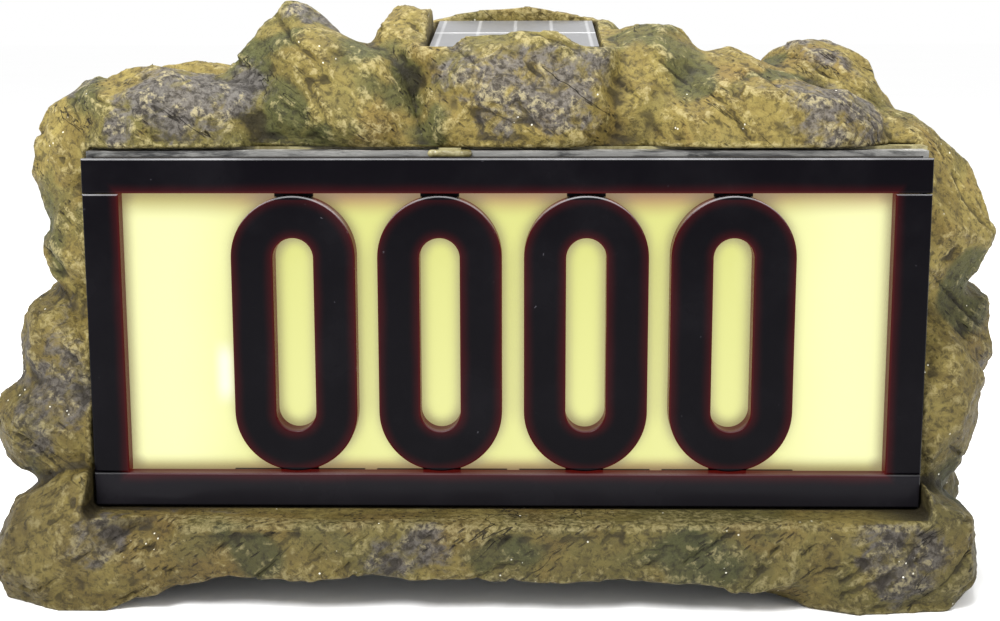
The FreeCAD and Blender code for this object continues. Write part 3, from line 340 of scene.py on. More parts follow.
# %% [markdown]
# ## The stone, step 2: what must stay sharp
#
# The casting is exact where something sits in it: round the window, in the solar well, on
# its flat feet and where the base cover goes. A weight of 0 keeps those points where they
# are, and it grows to 1 a few millimetres away.

# %% Weights for the carving
ROOM = 1.5 * MM
EDGE_START = 0.2 * MM
SOFT_EDGE = 3.0 * MM
SOLE = 0.1 * MM
FOOT = 3.0 * MM
WEIGHT_STEPS = 20
panel_low, panel_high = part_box("solar_backing")
tray_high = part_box("light_box_tray")[1]
cover_low, cover_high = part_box("base_cover")


def smooth_step(value, low, high):
    """A soft step from 0 to 1 as the value goes from low to high."""
    share = np.clip((value - low) / (high - low), 0.0, 1.0)
    return share * share * (3 - 2 * share)


def outside_of(points, low, high):
    """How far each point is outside a box; negative inside."""
    return np.max(np.maximum(np.array(low) - points, points - np.array(high)), axis=1)


def carving_weight(points):
    """0 where the casting has to stay exact, 1 where it may be carved."""
    far = 1.0
    window = outside_of(points, (rail_low[0] - ROOM, -far, sill_low[2] - ROOM),
                        (rail_high[0] + ROOM, tray_high[1] + ROOM, tray_high[2] + ROOM))
    well = outside_of(points, (panel_low[0] - ROOM, panel_low[1] - ROOM, panel_low[2] - ROOM),
                      (panel_high[0] + ROOM, panel_high[1] + ROOM, far))
    recess = outside_of(points, (cover_low[0] - ROOM, cover_low[1] - ROOM, -far),
                        (cover_high[0] + ROOM, cover_high[1] + ROOM, cover_high[2] + ROOM))
    weight = smooth_step(points[:, 2], SOLE, FOOT)
    for away in (window, well, recess):
        weight = weight * smooth_step(away, EDGE_START, SOFT_EDGE)
    return weight


def set_weight(piece, name, weight):
    """Writes a value per point as a vertex group, in a few even steps."""
    group = piece.vertex_groups.get(name) or piece.vertex_groups.new(name=name)
    steps = np.round(weight * WEIGHT_STEPS).astype(int)
    for step in range(1, WEIGHT_STEPS + 1):
        group.add(np.nonzero(steps == step)[0].tolist(), step / WEIGHT_STEPS, "REPLACE")


weight = carving_weight(points_of(rock))
set_weight(rock, "skin", weight)
print("points that carving may move", int((weight > 0.5).sum()))

# %% [markdown]
# ## The stone, step 3: putty in the joints
#
# The sculptor's boulders run into each other with soft hollows, as if putty was pressed
# into the joints. A point that lies deeper than the mean of its neighbours is lifted to it,
# over and over, which fills the hollows and leaves the ridges. A light smoothing then takes
# the sharpness off the facets.

# %% Fill the joints
PUTTY_TURNS = 6
ROUNDS_PER_TURN = 10


def edges_of(piece):
    """The two ends of each edge, as rows of point numbers."""
    flat = np.empty(len(piece.data.edges) * 2, dtype=np.int32)
    piece.data.edges.foreach_get("vertices", flat)
    return flat.reshape(-1, 2)


def neighbour_mean(values, edges, rounds):
    """Averages each point with its neighbours, again and again."""
    count = len(values)
    share = np.bincount(edges.ravel(), minlength=count).reshape(-1, 1) + 1.0
    for _ in range(rounds):
        total = values.copy()
        for column in range(values.shape[1]):
            total[:, column] += np.bincount(edges[:, 0], values[edges[:, 1], column], count)
            total[:, column] += np.bincount(edges[:, 1], values[edges[:, 0], column], count)
        values = total / share
    return values


def fill_joints(piece, weight):
    """Lifts what lies too deep; the directions are worked out anew at each turn."""
    edges = edges_of(piece)
    for _ in range(PUTTY_TURNS):
        normals = normals_of(piece)
        points = points_of(piece)
        for _ in range(ROUNDS_PER_TURN):
            mean = neighbour_mean(points, edges, 1)
            lift = ((mean - points) * normals).sum(axis=1)
            points = points + normals * (np.maximum(lift, 0.0) * weight)[:, None]
        move_points(piece, points)


before_putty = points_of(rock)
fill_joints(rock, weight)
applied(rock, "SMOOTH", factor=0.5, iterations=10, vertex_group="skin")
filled = np.linalg.norm(points_of(rock) - before_putty, axis=1) / MM
print("putty and smoothing moved points by up to", round(float(filled.max()), 2), "mm")

# %% [markdown]
# ## The stone, step 4: carving
#
# Relief goes on from large to small: slow swells, slanting beds, sharp creases between the
# beds, broken chips, and a coarse grain. Each is a Displace modifier with a procedural
# texture, limited by the weight. The beds slant down to the right in the upper rock and up
# to the right in the sill, so that two turned guides place the same texture.

# %% Tools for carving
ACROSS_BEDS = 0.7


def texture(name, kind, **settings):
    """A procedural texture with its settings."""
    made = bpy.data.textures.new(name, kind)
    for key, value in settings.items():
        setattr(made, key, value)
    return made


def bed_guide(name, lean, long, thin):
    """An unseen guide that stretches a texture along a slanting direction."""
    guide = bpy.data.objects.new(name, None)
    bpy.context.scene.collection.objects.link(guide)
    stretch = Matrix.Diagonal((long, long * ACROSS_BEDS, thin, 1.0))
    guide.matrix_world = Matrix.Rotation(math.radians(lean), 4, "Y") @ stretch
    return guide


def carve(piece, pattern, depth, group="skin", guide=None, middle=0.5):
    """Moves the skin in and out along its normals by a texture."""
    before = points_of(piece)
    settings = {"texture": pattern, "strength": depth * MM, "mid_level": middle,
                "vertex_group": group, "texture_coords": "LOCAL"}
    if guide is not None:
        settings.update(texture_coords="OBJECT", texture_coords_object=guide)
    applied(piece, "DISPLACE", **settings)
    moved = np.linalg.norm(points_of(piece) - before, axis=1) / MM
    print("carved", pattern.name, "mm mean", round(float(moved.mean()), 2),
          "most", round(float(moved.max()), 2))


# %% [markdown]
# ## The stone, step 4, carried out
#
# The upper rock and the sill get a weight each, and the two blend where the frame stands.
# The marks go from beds some 10 cm long down to grains of 4 mm, as on broken stone. What
# the casting carries in relief is kept shallow, as a mould for resin allows.

# %% Carve the skin
SILL_END = 40 * MM
UPPER_START = 52 * MM

heights = points_of(rock)[:, 2]
sill_share = 1.0 - smooth_step(heights, SILL_END, UPPER_START)
set_weight(rock, "upper", weight * (1.0 - sill_share))
set_weight(rock, "sill", weight * sill_share)
upper_guide = bed_guide("upper_guide", lean=38, long=0.110, thin=0.024)
sill_guide = bed_guide("sill_guide", lean=-34, long=0.090, thin=0.020)
bpy.context.view_layer.update()

swell = texture("swell", "CLOUDS", noise_scale=0.050, noise_depth=1)
beds = texture("beds", "CLOUDS", noise_scale=1.0, noise_depth=4, noise_type="HARD_NOISE")
creases = texture("creases", "CLOUDS", noise_scale=0.55, noise_depth=1,
                  noise_type="HARD_NOISE", use_color_ramp=True)
ramp = creases.color_ramp
ramp.elements[0].position = 0.02
ramp.elements[1].position = 0.11
chips = texture("chips", "CLOUDS", noise_scale=0.014, noise_depth=5, noise_type="HARD_NOISE")
grain = texture("grain", "CLOUDS", noise_scale=0.0040, noise_depth=2)

carve(rock, swell, 3.2)
carve(rock, beds, 3.8, "upper", upper_guide, 0.45)
carve(rock, beds, 3.8, "sill", sill_guide, 0.45)
carve(rock, creases, 1.8, "upper", upper_guide, 1.0)
carve(rock, creases, 1.8, "sill", sill_guide, 1.0)
carve(rock, chips, 1.7)
carve(rock, grain, 0.7)
for guide in (upper_guide, sill_guide):
    bpy.data.objects.remove(guide)

# %% [markdown]
# ## The stone, step 5: size and faces
#
# The carving may not grow the object, so no point leaves the box of the casting. Then the
# skin is thinned: most of all inside the hollow, which nobody sees, less at the back and
# below, and a little everywhere.

# %% Limit and thin
TRIANGLE_LIMIT = 190000
HOLLOW_MIDDLE = (0.0, 0.012, 0.098)
HOLLOW_HALF = (0.165, 0.050, 0.090)
LOOKS_BACK = 0.5
LOOKS_DOWN = -0.7


def limit(piece):
    """Keeps every point inside the box of the casting."""
    move_points(piece, np.clip(points_of(piece), np.array(cad_box[0]), np.array(cad_box[1])))


def in_hollow(piece):
    """True for the points on the wall of the hollow."""
    points = points_of(piece)
    middle = np.array(HOLLOW_MIDDLE)
    inward = ((middle - points) * normals_of(piece)).sum(axis=1) > 0
    return inward & (np.abs((points - middle) / np.array(HOLLOW_HALF)).max(axis=1) < 1.0)


def at_rear(piece):
    """True for the points that look back or down."""
    normals = normals_of(piece)
    return (normals[:, 1] > LOOKS_BACK) | (normals[:, 2] < LOOKS_DOWN)


def triangles_of(piece):
    """How many triangles the piece's faces make."""
    return sum(len(face.vertices) - 2 for face in piece.data.polygons)


def thin(piece, name, mask, kept):
    """Thins the marked part of the skin to a share of its triangles."""
    set_weight(piece, name, mask.astype(float))
    before = triangles_of(piece)
    ratio = 1.0 - mask.mean() * (1.0 - kept)
    applied(piece, "DECIMATE", ratio=ratio, vertex_group=name, use_collapse_triangulate=True)
    print("thinned", name, before, "to", triangles_of(piece))


limit(rock)
thin(rock, "hollow", in_hollow(rock), kept=0.06)
thin(rock, "rear", at_rear(rock) & ~in_hollow(rock), kept=0.30)
everywhere = np.ones(len(rock.data.vertices))
thin(rock, "all", everywhere, kept=TRIANGLE_LIMIT / triangles_of(rock))
limit(rock)
only(rock)
bpy.ops.object.shade_smooth()

# %% [markdown]
# ## The stone, step 6: painted values
#
# A painter of such a casting floods dark wash into the creases and dabs colour on single
# boulders; here painted shade joins the wash in the creases, and a painted highlight goes
# over what stands out. The values for this are worked out per point: how far it stands
# above its neighbours, and how near it is to each dab.

# %% Dabs of colour
# Each row is the middle of a dab in mm, and its half width and half height.
PURPLE_DABS = [
    ((-112, -28, 184), 33, 19), ((-136, -34, 171), 9, 12), ((12, -36, 186), 36, 21),
    ((125, -30, 180), 29, 19), ((-68, -5, 215), 10, 5), ((128, 26, 203), 22, 10),
    ((-163, -20, 78), 20, 34), ((-160, 0, 189), 10, 7), ((-143, -58, 25), 18, 14),
    ((-28, -60, 22), 22, 12), ((143, -58, 22), 22, 14), ((178, 0, 66), 14, 18),
    ((-60, 60, 150), 40, 30), ((70, 62, 90), 48, 30), ((-120, 58, 60), 30, 24),
    ((30, 62, 30), 40, 16), ((150, 50, 150), 24, 22),
]
MOSS_DABS = [
    ((-150, -15, 184), 15, 10), ((-84, -8, 200), 24, 9), ((-88, -20, 185), 11, 9),
    ((-75, -26, 176), 11, 11), ((-62, -28, 167), 10, 9), ((-52, -10, 201), 16, 10),
    ((-38, -10, 190), 18, 13), ((-40, 8, 200), 24, 12), ((-27, -26, 172), 9, 14),
    ((54, -5, 203), 18, 10), ((68, -10, 192), 12, 11), ((82, 0, 186), 14, 7),
    ((104, 5, 192), 20, 5), ((-85, -60, 22), 17, 13), ((3, -60, 22), 14, 12),
    ((71, -58, 20), 24, 11), ((-168, -5, 138), 9, 28), ((-172, -8, 52), 11, 18),
    ((177, 2, 112), 14, 20), ((170, -20, 40), 12, 14), ((10, 66, 190), 60, 22),
    ((120, 60, 100), 34, 26), ((-20, 62, 100), 46, 22), ((-150, 50, 110), 28, 34),
]
print("dabs", len(PURPLE_DABS), "purple", len(MOSS_DABS), "moss")

# %% [markdown]
# ## The stone, step 6, carried out
#
# The relief is measured twice: against near neighbours for the fine creases, and against
# a wide neighbourhood for the valleys between boulders. The dabs' outlines are torn by
# noise, because a brush on rough stone leaves no round mark. The noise starts from the
# clock unless it is given a seed, so a fixed seed makes each run paint the same dabs.

# %% Relief and dabs, point by point
WIDE_TEAR, WIDE_SHIFT = 26 * MM, 11 * MM
SMALL_TEAR, SMALL_SHIFT = 9 * MM, 5 * MM
DAB_DEPTH = 32.0
DAB_CORE, DAB_END = 0.55, 1.35
NOISE_SEED = 7


def relief_of(piece, rounds, full):
    """How far each point stands above the mean of its surroundings, from -1 to 1."""
    points = points_of(piece)
    mean = neighbour_mean(points, edges_of(piece), rounds)
    height = ((points - mean) * normals_of(piece)).sum(axis=1)
    return np.clip(height / full, -1.0, 1.0)


def torn(points):
    """The points shifted by noise, so that a round dab gets a ragged outline."""
    shifts = [noise.noise_vector(Vector(point) / WIDE_TEAR) * WIDE_SHIFT
              + noise.noise_vector(Vector(point) / SMALL_TEAR) * SMALL_SHIFT
              for point in points]
    return points + np.array(shifts)


def dabs_on(points, dabs):
    """The strongest dab at each point, fading out at its edge."""
    strongest = np.zeros(len(points))
    for middle, wide, high in dabs:
        reach = np.array([wide, DAB_DEPTH, high]) * MM
        away = np.linalg.norm((points - np.array(middle) * MM) / reach, axis=1)
        strongest = np.maximum(strongest, 1.0 - smooth_step(away, DAB_CORE, DAB_END))
    return strongest


def paint(piece, name, values):
    """Stores a value per point, which the material reads by its name."""
    layer = piece.data.attributes.new(name, "FLOAT", "POINT")
    layer.data.foreach_set("value", np.ascontiguousarray(values, dtype=np.float32))
    print("painted", name, "mean", round(float(np.mean(values)), 3))


noise.seed_set(NOISE_SEED)
rock_points = torn(points_of(rock))
paint(rock, "fine_relief", relief_of(rock, rounds=4, full=0.30 * MM))
paint(rock, "broad_relief", relief_of(rock, rounds=60, full=2.0 * MM))
paint(rock, "purple_dab", dabs_on(rock_points, PURPLE_DABS))
paint(rock, "moss_dab", dabs_on(rock_points, MOSS_DABS))

# %% [markdown]
# ## The stone, step 7: paint
#
# The paint is layered as on the real one: two ochres that flow into each other, thin
# purple-grey and moss green over them where the dabs are, torn at their edges by noise,
# and a dark wash in the creases. Painted shade is added in the creases and valleys, a
# painted highlight in pale cream on the ridges, and painted shade low down and on the
# lower sides. The two leans are angles in radians.

# %% Coats, washes and painted light
OCHRE = (0.128, 0.094, 0.023)
PALE_OCHRE = (0.222, 0.174, 0.050)
RUST = (0.122, 0.070, 0.018)
OLIVE = (0.082, 0.079, 0.025)
MOSS = (0.046, 0.053, 0.019)
PURPLE = (0.050, 0.044, 0.043)
PALE_PURPLE = (0.118, 0.108, 0.102)
# White of the painted glints.
PAINTED_GLINT = (0.85, 0.82, 0.70)
# Dark wash, also used for the painted shade in creases, valleys, low down and on the sides.
WASH_AND_SHADE = (0.008, 0.006, 0.004)
# Pale cream of the painted highlight on the ridges.
HIGHLIGHT_CREAM = (0.365, 0.310, 0.150)
UPPER_LEAN = 0.66
SILL_LEAN = -0.60


def patterns_of(stone):
    """The noises that the layers of paint share, from slow to fine."""
    flow = stone.stretched((1.5, 1.2, 0.8), (0.0, UPPER_LEAN, 0.0))
    across = stone.stretched((1.4, 1.0, 0.8), (0.0, SILL_LEAN, 0.3))
    return SimpleNamespace(
        slow=stone.noise(0.030, 4.0, 0.55, 0.6),
        other=stone.noise(0.019, 3.0, 0.5, 0.8, across),
        mottled=stone.noise(0.0050, 6.0, 0.66, 0.7, flow),
        streaks=stone.noise(0.0034, 4.0, 0.62, 0.9, across),
        fine=stone.noise(0.0012, 4.0, 0.72, 0.4))


def coats(stone, at):
    """Ochre, olive and rust over one another, then the dabs of moss and purple."""
    colour = stone.mix(stone.step(at.mottled, 0.38, 0.64), OCHRE, PALE_OCHRE)
    colour = stone.mix(stone.step(at.slow, 0.46, 0.68) * 0.7, colour, OLIVE)
    rust = stone.step(at.other + (at.mottled - 0.5) * 0.6, 0.52, 0.70)
    colour = stone.mix(rust * 0.45, colour, RUST)
    moss = stone.painted("moss_dab") + (at.other - 0.5) * 1.0 + (at.mottled - 0.5) * 1.0
    colour = stone.mix(stone.step(moss, 0.30, 1.00) * 0.80, colour, MOSS)
    purple = stone.painted("purple_dab") * 0.9 + (at.slow - 0.5) * 0.9
    purple = purple + (at.mottled - 0.5) * 1.3 + (at.streaks - 0.5) * 1.7
    shade = stone.mix(stone.step(at.fine, 0.38, 0.66), PURPLE, PALE_PURPLE)
    return stone.mix(stone.step(purple, 0.44, 1.02) * 0.88, colour, shade)


def washes_and_painted_light(stone, at, colour):
    """Dark wash and painted shade in what lies deep, a painted highlight on what stands
    out, and painted shade low down and on the lower sides.
    """
    fine_relief = stone.painted("fine_relief")
    broad_relief = stone.painted("broad_relief")
    colour = stone.mix(stone.step(at.fine, 0.54, 0.32) * 0.66, colour, WASH_AND_SHADE)
    # Painted highlight: pale cream on what stands out.
    ridge_highlight = stone.step(fine_relief + (at.fine - 0.5) * 3.4, 0.70, 1.50)
    colour = stone.mix(ridge_highlight * 0.55, colour, HIGHLIGHT_CREAM)
    # Dark wash and painted shade in the fine creases.
    crease_wash_and_shade = stone.step(fine_relief * -1.0 + (at.fine - 0.5) * 1.4, 0.40, 1.1)
    colour = stone.mix(crease_wash_and_shade * 0.66, colour, WASH_AND_SHADE)
    # Painted shade in the valleys between boulders.
    valley_shade = stone.step(broad_relief * -1.0 + (at.slow - 0.5) * 0.4, 0.15, 1.1)
    colour = stone.mix(valley_shade * 0.62, colour, WASH_AND_SHADE)
    # Painted shade: the stone is darker towards the bottom, where it gets less light.
    low_shade = stone.step(stone.z + (at.slow - 0.5) * 0.05, 0.012, 0.130, 0.46, 0.0)
    colour = stone.mix(low_shade, colour, WASH_AND_SHADE)
    # Painted shade on the lower sides.
    side_shade = stone.step(stone.x.abs(), 0.150, 0.178)
    side_shade = side_shade * stone.step(stone.z, 0.105, 0.150, 0.30, 0.0)
    return stone.mix(side_shade, colour, WASH_AND_SHADE)


print("beds lean by", UPPER_LEAN, "above and", SILL_LEAN, "in the sill, in radians")

# %% [markdown]
# ## The stone, step 7, cracks and painted glints
#
# The casting's fine cracks follow its beds, so they lean one way above and the other way
# in the sill. A few white specks are painted into the colour as glints. The same patterns
# also drive a fine bump, so that colour and relief agree.

# %% Cracks, painted glints and the finished stone
SILL_ENDS = (0.042, 0.048)


def cracks_along(stone, lean):
    """Thin dark cracks and pits that follow the slant of the beds."""
    place = stone.stretched((5.0, 1.8, 0.8), (0.0, lean, 0.0))
    line = (stone.noise(0.0080, 4.0, 0.60, 0.35, place) - 0.5).abs()
    line = 1.0 - stone.step(line, 0.001, 0.009)
    line = line * stone.step(stone.noise(0.0110, 2.0, 0.5, 0.0, place), 0.55, 0.62)
    pits = 1.0 - stone.step(stone.cells(0.0022, "F1", place), 0.10, 0.24)
    return line, pits


def painted_stone():
    """The whole finish: coats, washes with painted shade and highlight, cracks, painted
    glints and the bump.
    """
    stone = Finish("painted_stone", Roughness=0.65, Specular_IOR_Level=0.16)
    at = patterns_of(stone)
    colour = washes_and_painted_light(stone, at, coats(stone, at))
    upper, upper_pits = cracks_along(stone, UPPER_LEAN)
    lower, lower_pits = cracks_along(stone, SILL_LEAN)
    on_sill = stone.step(stone.z, *SILL_ENDS, 1.0, 0.0)
    cracks = lower * on_sill + upper * (1.0 - on_sill)
    pits = lower_pits * on_sill + upper_pits * (1.0 - on_sill)
    pits = pits * stone.step(at.other, 0.48, 0.60)
    colour = stone.mix((cracks * 0.88).above(pits * 0.78), colour, WASH_AND_SHADE)
    # Painted glints: small white specks put into the colour.
    glint = stone.step(stone.cells(0.0034), 0.08, 0.12, 1.0, 0.0)
    glint = glint * stone.step(stone.noise(0.0090, 3.0), 0.58, 0.62)
    colour = stone.mix(glint * 0.65, colour, PAINTED_GLINT)
    stone.feed(Base_Color=colour, Roughness=stone.step(at.mottled, 0.3, 0.7, 0.50, 0.75))
    height = at.mottled * 0.75 + at.streaks * 0.30 + at.fine * 0.42
    return stone.bump(height - cracks * 0.55 - pits * 0.30, 0.0022, 0.9)


rock.data.materials.clear()
rock.data.materials.append(painted_stone().material)
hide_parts("rock_shell")
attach(rock, "rock")
print("stone painted on", triangles_of(rock), "triangles")

# %% [markdown]
# ## The dark acrylic
#
# The frame and the noughts look black, but they are a very dark red acrylic. Light from the
# panel behind leaks into their edges, where it glows red and dies away within 5 mm. The
# glow is drawn by the distance to the nearest lit edge. Fine dust specks and a faint haze
# lie on them, and the lower bar is a little greyer all over. The upper faces get a painted
# highlight with some dust, most of all along their front edges.

# %% Smoked acrylic
ACRYLIC = (0.0012, 0.0009, 0.0018)
DUST = (0.112, 0.106, 0.122)
# Light grey of the painted highlight on the upper faces, with some dust.
DUST_AND_HIGHLIGHT = (0.42, 0.42, 0.43)
GLOW = (0.095, 0.006, 0.004)
GLOW_DEEP = (0.040, 0.0016, 0.0014)
GLOW_REACH = 4.8 * MM
RIM_REACH = 1.1 * MM
# The painted highlight is faint below the first height and full above the second.
HIGHLIGHT_FADES_BELOW = SIGN_Z - 30 * MM
HIGHLIGHT_FULL_ABOVE = SIGN_Z - 20 * MM


def smoked_acrylic(name, edge):
    """Dark acrylic; `edge` gives the distance in metres to the nearest lit edge."""
    acrylic = Finish(name, Roughness=0.22, IOR=1.49, Specular_IOR_Level=0.045,
                     Emission_Strength=1.0)
    speck = acrylic.noise(0.0011, 2.0, 0.5)
    bloom = acrylic.noise(0.018, 4.0, 0.6)
    specks = acrylic.step(speck, 0.72, 0.77) * acrylic.step(bloom, 0.42, 0.7)
    haze = acrylic.step(bloom, 0.40, 0.80) * 0.02
    # The lower bar is a little greyer all over.
    haze = haze + acrylic.step(acrylic.z, OPENING_LOW - MM, OPENING_LOW, 0.055, 0.0)
    colour = acrylic.mix((specks * 0.6).above(haze), ACRYLIC, DUST)
    # Painted highlight, with some dust, on faces that look up, most of all along the front edges.
    dust_and_highlight = acrylic.step(acrylic.upward(), 0.30, 0.80)
    dust_and_highlight = dust_and_highlight * acrylic.step(bloom, 0.25, 0.75, 0.35, 0.9)
    dust_and_highlight = dust_and_highlight * acrylic.step(acrylic.z, HIGHLIGHT_FADES_BELOW, HIGHLIGHT_FULL_ABOVE, 0.12, 0.7)
    dust_and_highlight = dust_and_highlight * acrylic.step(acrylic.y, FACE_Y + MM, FACE_Y + 4 * MM, 1.0, 0.25)
    colour = acrylic.mix(dust_and_highlight, colour, DUST_AND_HIGHLIGHT)
    reach = edge(acrylic)
    uneven = acrylic.noise(0.012, 2.0)
    near = acrylic.step(reach + (uneven - 0.5) * 0.002, 0.0, GLOW_REACH, 1.0, 0.0)
    rim = acrylic.step(reach, 0.0, RIM_REACH, 1.0, 0.0)
    light = acrylic.mix(near ** 1.5, (0.0, 0.0, 0.0), GLOW_DEEP)
    light = acrylic.mix(rim * (0.35 + uneven * 0.6), light, GLOW)
    acrylic.feed(Base_Color=colour, Emission_Color=light,
                 Roughness=acrylic.step(bloom, 0.3, 0.7, 0.16, 0.30))
    return acrylic.bump(acrylic.noise(0.0035, 2.0), 0.00003)


def bar_edge(acrylic):
    """Distance from the lit opening's outline, on the four bars."""
    beyond_side = (acrylic.x - (OPENING_LEFT + OPENING_RIGHT) / 2).abs()
    beyond_side = beyond_side - (OPENING_RIGHT - OPENING_LEFT) / 2
    beyond_end = (acrylic.z - SIGN_Z).abs() - (OPENING_HIGH - OPENING_LOW) / 2
    return beyond_side.above(beyond_end).abs()


dress(smoked_acrylic("smoked_bars", bar_edge), "top_rail", "bottom_rail", "left_stile",
      "right_stile")

# %% [markdown]
# ## The glow of the noughts
#
# A nought is a ring with straight sides. The distance to its outlines is worked out as for
# a running track: from the nearest point of the middle line. The neck that reaches behind
# each rail is kept dark, because the rail hides the light there. The place is taken from
# the nought at rest, and it travels with the piece.

# %% Noughts
DIGIT_HALF_WIDE = 22.5 * MM
DIGIT_HALF_HIGH = 50.8 * MM
STROKE = 15.2 * MM
NECK_START = 49.2 * MM
NECK_HALF = 7.4 * MM


def digit_edge(middle_x):
    """Distance from a nought's outer or inner outline."""
    def edge(acrylic):
        across = acrylic.x - middle_x
        straight = DIGIT_HALF_HIGH - DIGIT_HALF_WIDE
        up = ((acrylic.z - SIGN_Z).abs() - straight).above(0.0)
        radius = (across * across + up * up).root()
        outer = (radius - DIGIT_HALF_WIDE).abs()
        inner = (radius - (DIGIT_HALF_WIDE - STROKE)).abs()
        in_neck = acrylic.step((acrylic.z - SIGN_Z).abs(), NECK_START, DIGIT_HALF_HIGH)
        in_neck = in_neck * acrylic.step(across.abs(), NECK_HALF, NECK_HALF + MM, 1.0, 0.0)
        return outer.below(inner) + in_neck * STROKE
    return edge


for name in DIGITS:
    low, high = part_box(name)
    dress(smoked_acrylic("smoked_" + name, digit_edge((low[0] + high[0]) / 2)), name)

# %% [markdown]
# ## The lit sheet
#
# The opal sheet is brightest and whitest at both ends, where the lamps stand, and yellower
# between the noughts. Along its upper and lower edges it fades into brown, because the
# rails shade it. Where a nought or a bar stands close, ambient occlusion darkens it, so
# that this shade goes along when a nought is moved. A short streak is a lamp behind.

# %% Opal sheet
LIT_END = (0.930, 0.935, 0.440)
LIT_MIDDLE = (0.700, 0.710, 0.185)
LIT_CORNER = (0.220, 0.165, 0.100)
LIT_SHADE = (0.400, 0.160, 0.062)
LIT_GREY = (0.420, 0.345, 0.068)
HOT = (1.0, 1.0, 0.90)
BEHIND_RAIL = (0.050, 0.045, 0.040)
CORNER_REACH = 6.0 * MM
STREAK_X, STREAK_Z = -0.101, 0.083


def opal_sheet():
    sheet = Finish("opal_sheet", Roughness=0.35, Emission_Strength=1.0)
    sheet.shader.inputs["Base Color"].default_value = (0.020, 0.020, 0.015, 1.0)
    off = (sheet.x - SIGN_X).abs()
    cloud = sheet.noise(0.030, 2.0)
    ends = sheet.step(off + (cloud - 0.5) * 0.02, 0.075, 0.125)
    low_down = sheet.step(sheet.z, OPENING_LOW, OPENING_HIGH, 1.0, 0.0)
    colour = sheet.mix(ends.above(low_down * 0.30), LIT_MIDDLE, LIT_END)
    rim = sheet.mix(ends * sheet.step(cloud, 0.40, 0.56, 0.35, 1.0), LIT_SHADE, LIT_GREY)
    top = sheet.z - OPENING_HIGH
    shade = sheet.step(top + (cloud - 0.5) * 0.005, -0.0105, 0.0005)
    colour = sheet.mix(shade * 0.95, colour, rim)
    low = sheet.step(OPENING_LOW - sheet.z, -0.0065, 0.0010) ** 1.3
    colour = sheet.mix(low * 0.75, colour, rim)

    open_share = sheet.node("ShaderNodeAmbientOcclusion", {"samples": 6},
                            {"Distance": CORNER_REACH}, "AO")
    corner = sheet.step(open_share, 0.42, 0.92, 1.0, 0.0)
    colour = sheet.mix(corner * 0.80, colour, LIT_CORNER)
    streak = sheet.step((sheet.x - STREAK_X).abs(), 0.0, 0.005, 1.0, 0.0)
    streak = streak * sheet.step((sheet.z - STREAK_Z).abs(), 0.004, 0.014, 1.0, 0.0)
    colour = sheet.mix(streak * 0.7, colour, HOT)
    hidden = sheet.step(sheet.z, OPENING_HIGH + 2 * MM, OPENING_HIGH + 6 * MM)
    colour = sheet.mix(hidden, colour, BEHIND_RAIL)
    return sheet.feed(Emission_Color=colour)


dress(opal_sheet(), "diffuser_panel")

# %% [markdown]
# ## Plain moulded parts
#
# The parts inside and below are seen only when the sign is opened or turned over, and each
# still has its own finish. Moulded plastic has fine pores, faint flow marks from the
# mould, and scuffs where it is handled.

# %% Moulded plastics, rubber and film
PORES = 0.6 * MM


def moulded(name, colour, pale, roughness=0.45):
    """Plastic or rubber: flow marks between two tones, pores and scuffs."""
    plastic = Finish(name, Roughness=roughness)
    marks = plastic.noise(0.030, 3.0, 0.5, 1.2)
    pores = plastic.noise(PORES, 2.0)
    scuffs = plastic.step(plastic.noise(0.004, 5.0, 0.7, 2.0), 0.58, 0.72)
    tone = plastic.mix(marks, colour, pale)
    worn = tuple(min(1.0, share * 1.8 + 0.02) for share in pale)
    tone = plastic.mix(scuffs * 0.25, tone, worn)
    plastic.feed(Base_Color=tone, Roughness=plastic.step(scuffs, 0.0, 1.0, roughness, 0.75))
    return plastic.bump(pores, 0.00005)


def scuffed_tray():
    """Black plastic with worn silver paint, rubbed white along its edge."""
    tray = Finish("scuffed_tray", Roughness=0.35)
    along = tray.stretched((2.9, 1.0, 0.7))
    worn = tray.noise(0.0050, 5.0, 0.65, 0.8, along)
    rubbed = tray.noise(0.0016, 4.0, 0.7, 0.5, along)
    tone = tray.mix(tray.step(worn, 0.40, 0.56), (0.018, 0.018, 0.018), (0.150, 0.148, 0.140))
    scuffs = tray.step(rubbed + (worn - 0.5) * 0.6, 0.55, 0.67)
    scuffs = scuffs * tray.step(tray.upward(), 0.2, 0.8, 0.12, 0.85)
    tone = tray.mix(scuffs, tone, (0.52, 0.51, 0.47))
    tray.feed(Base_Color=tone, Roughness=tray.step(worn, 0.3, 0.7, 0.25, 0.55))
    return tray.bump(rubbed, 0.0003)


dress(scuffed_tray(), "light_box_tray")
dress(moulded("black_cover", (0.012, 0.012, 0.013), (0.022, 0.022, 0.023)), "base_cover",
      "battery_box", "battery_door", "switch_case")
dress(moulded("switch_grey", (0.30, 0.30, 0.29), (0.42, 0.42, 0.41)), "switch_knob")
dress(moulded("white_film", (0.82, 0.82, 0.79), (0.90, 0.90, 0.88), 0.25), "back_reflector")
dress(moulded("soft_rubber", (0.010, 0.010, 0.010), (0.020, 0.020, 0.020), 0.8), "tray_sleeve",
      "solar_sleeve", "solar_tape")
dress(moulded("cable_black", (0.010, 0.010, 0.011), (0.018, 0.018, 0.019), 0.5), "link_wire",
      "light_cable", "solar_cable", "battery_cable")
dress(moulded("chip_black", (0.008, 0.008, 0.008), (0.015, 0.015, 0.015), 0.4), "charge_chip",
      "smoothing_capacitor")

# %% [markdown]
# ## Metals
#
# Screws, inserts, contacts and the solder ribbon are plated metal: fine turning marks run
# along them, and a darker bloom stains them here and there.

# %% Metals
TURNING_MARKS = 1.2 * MM


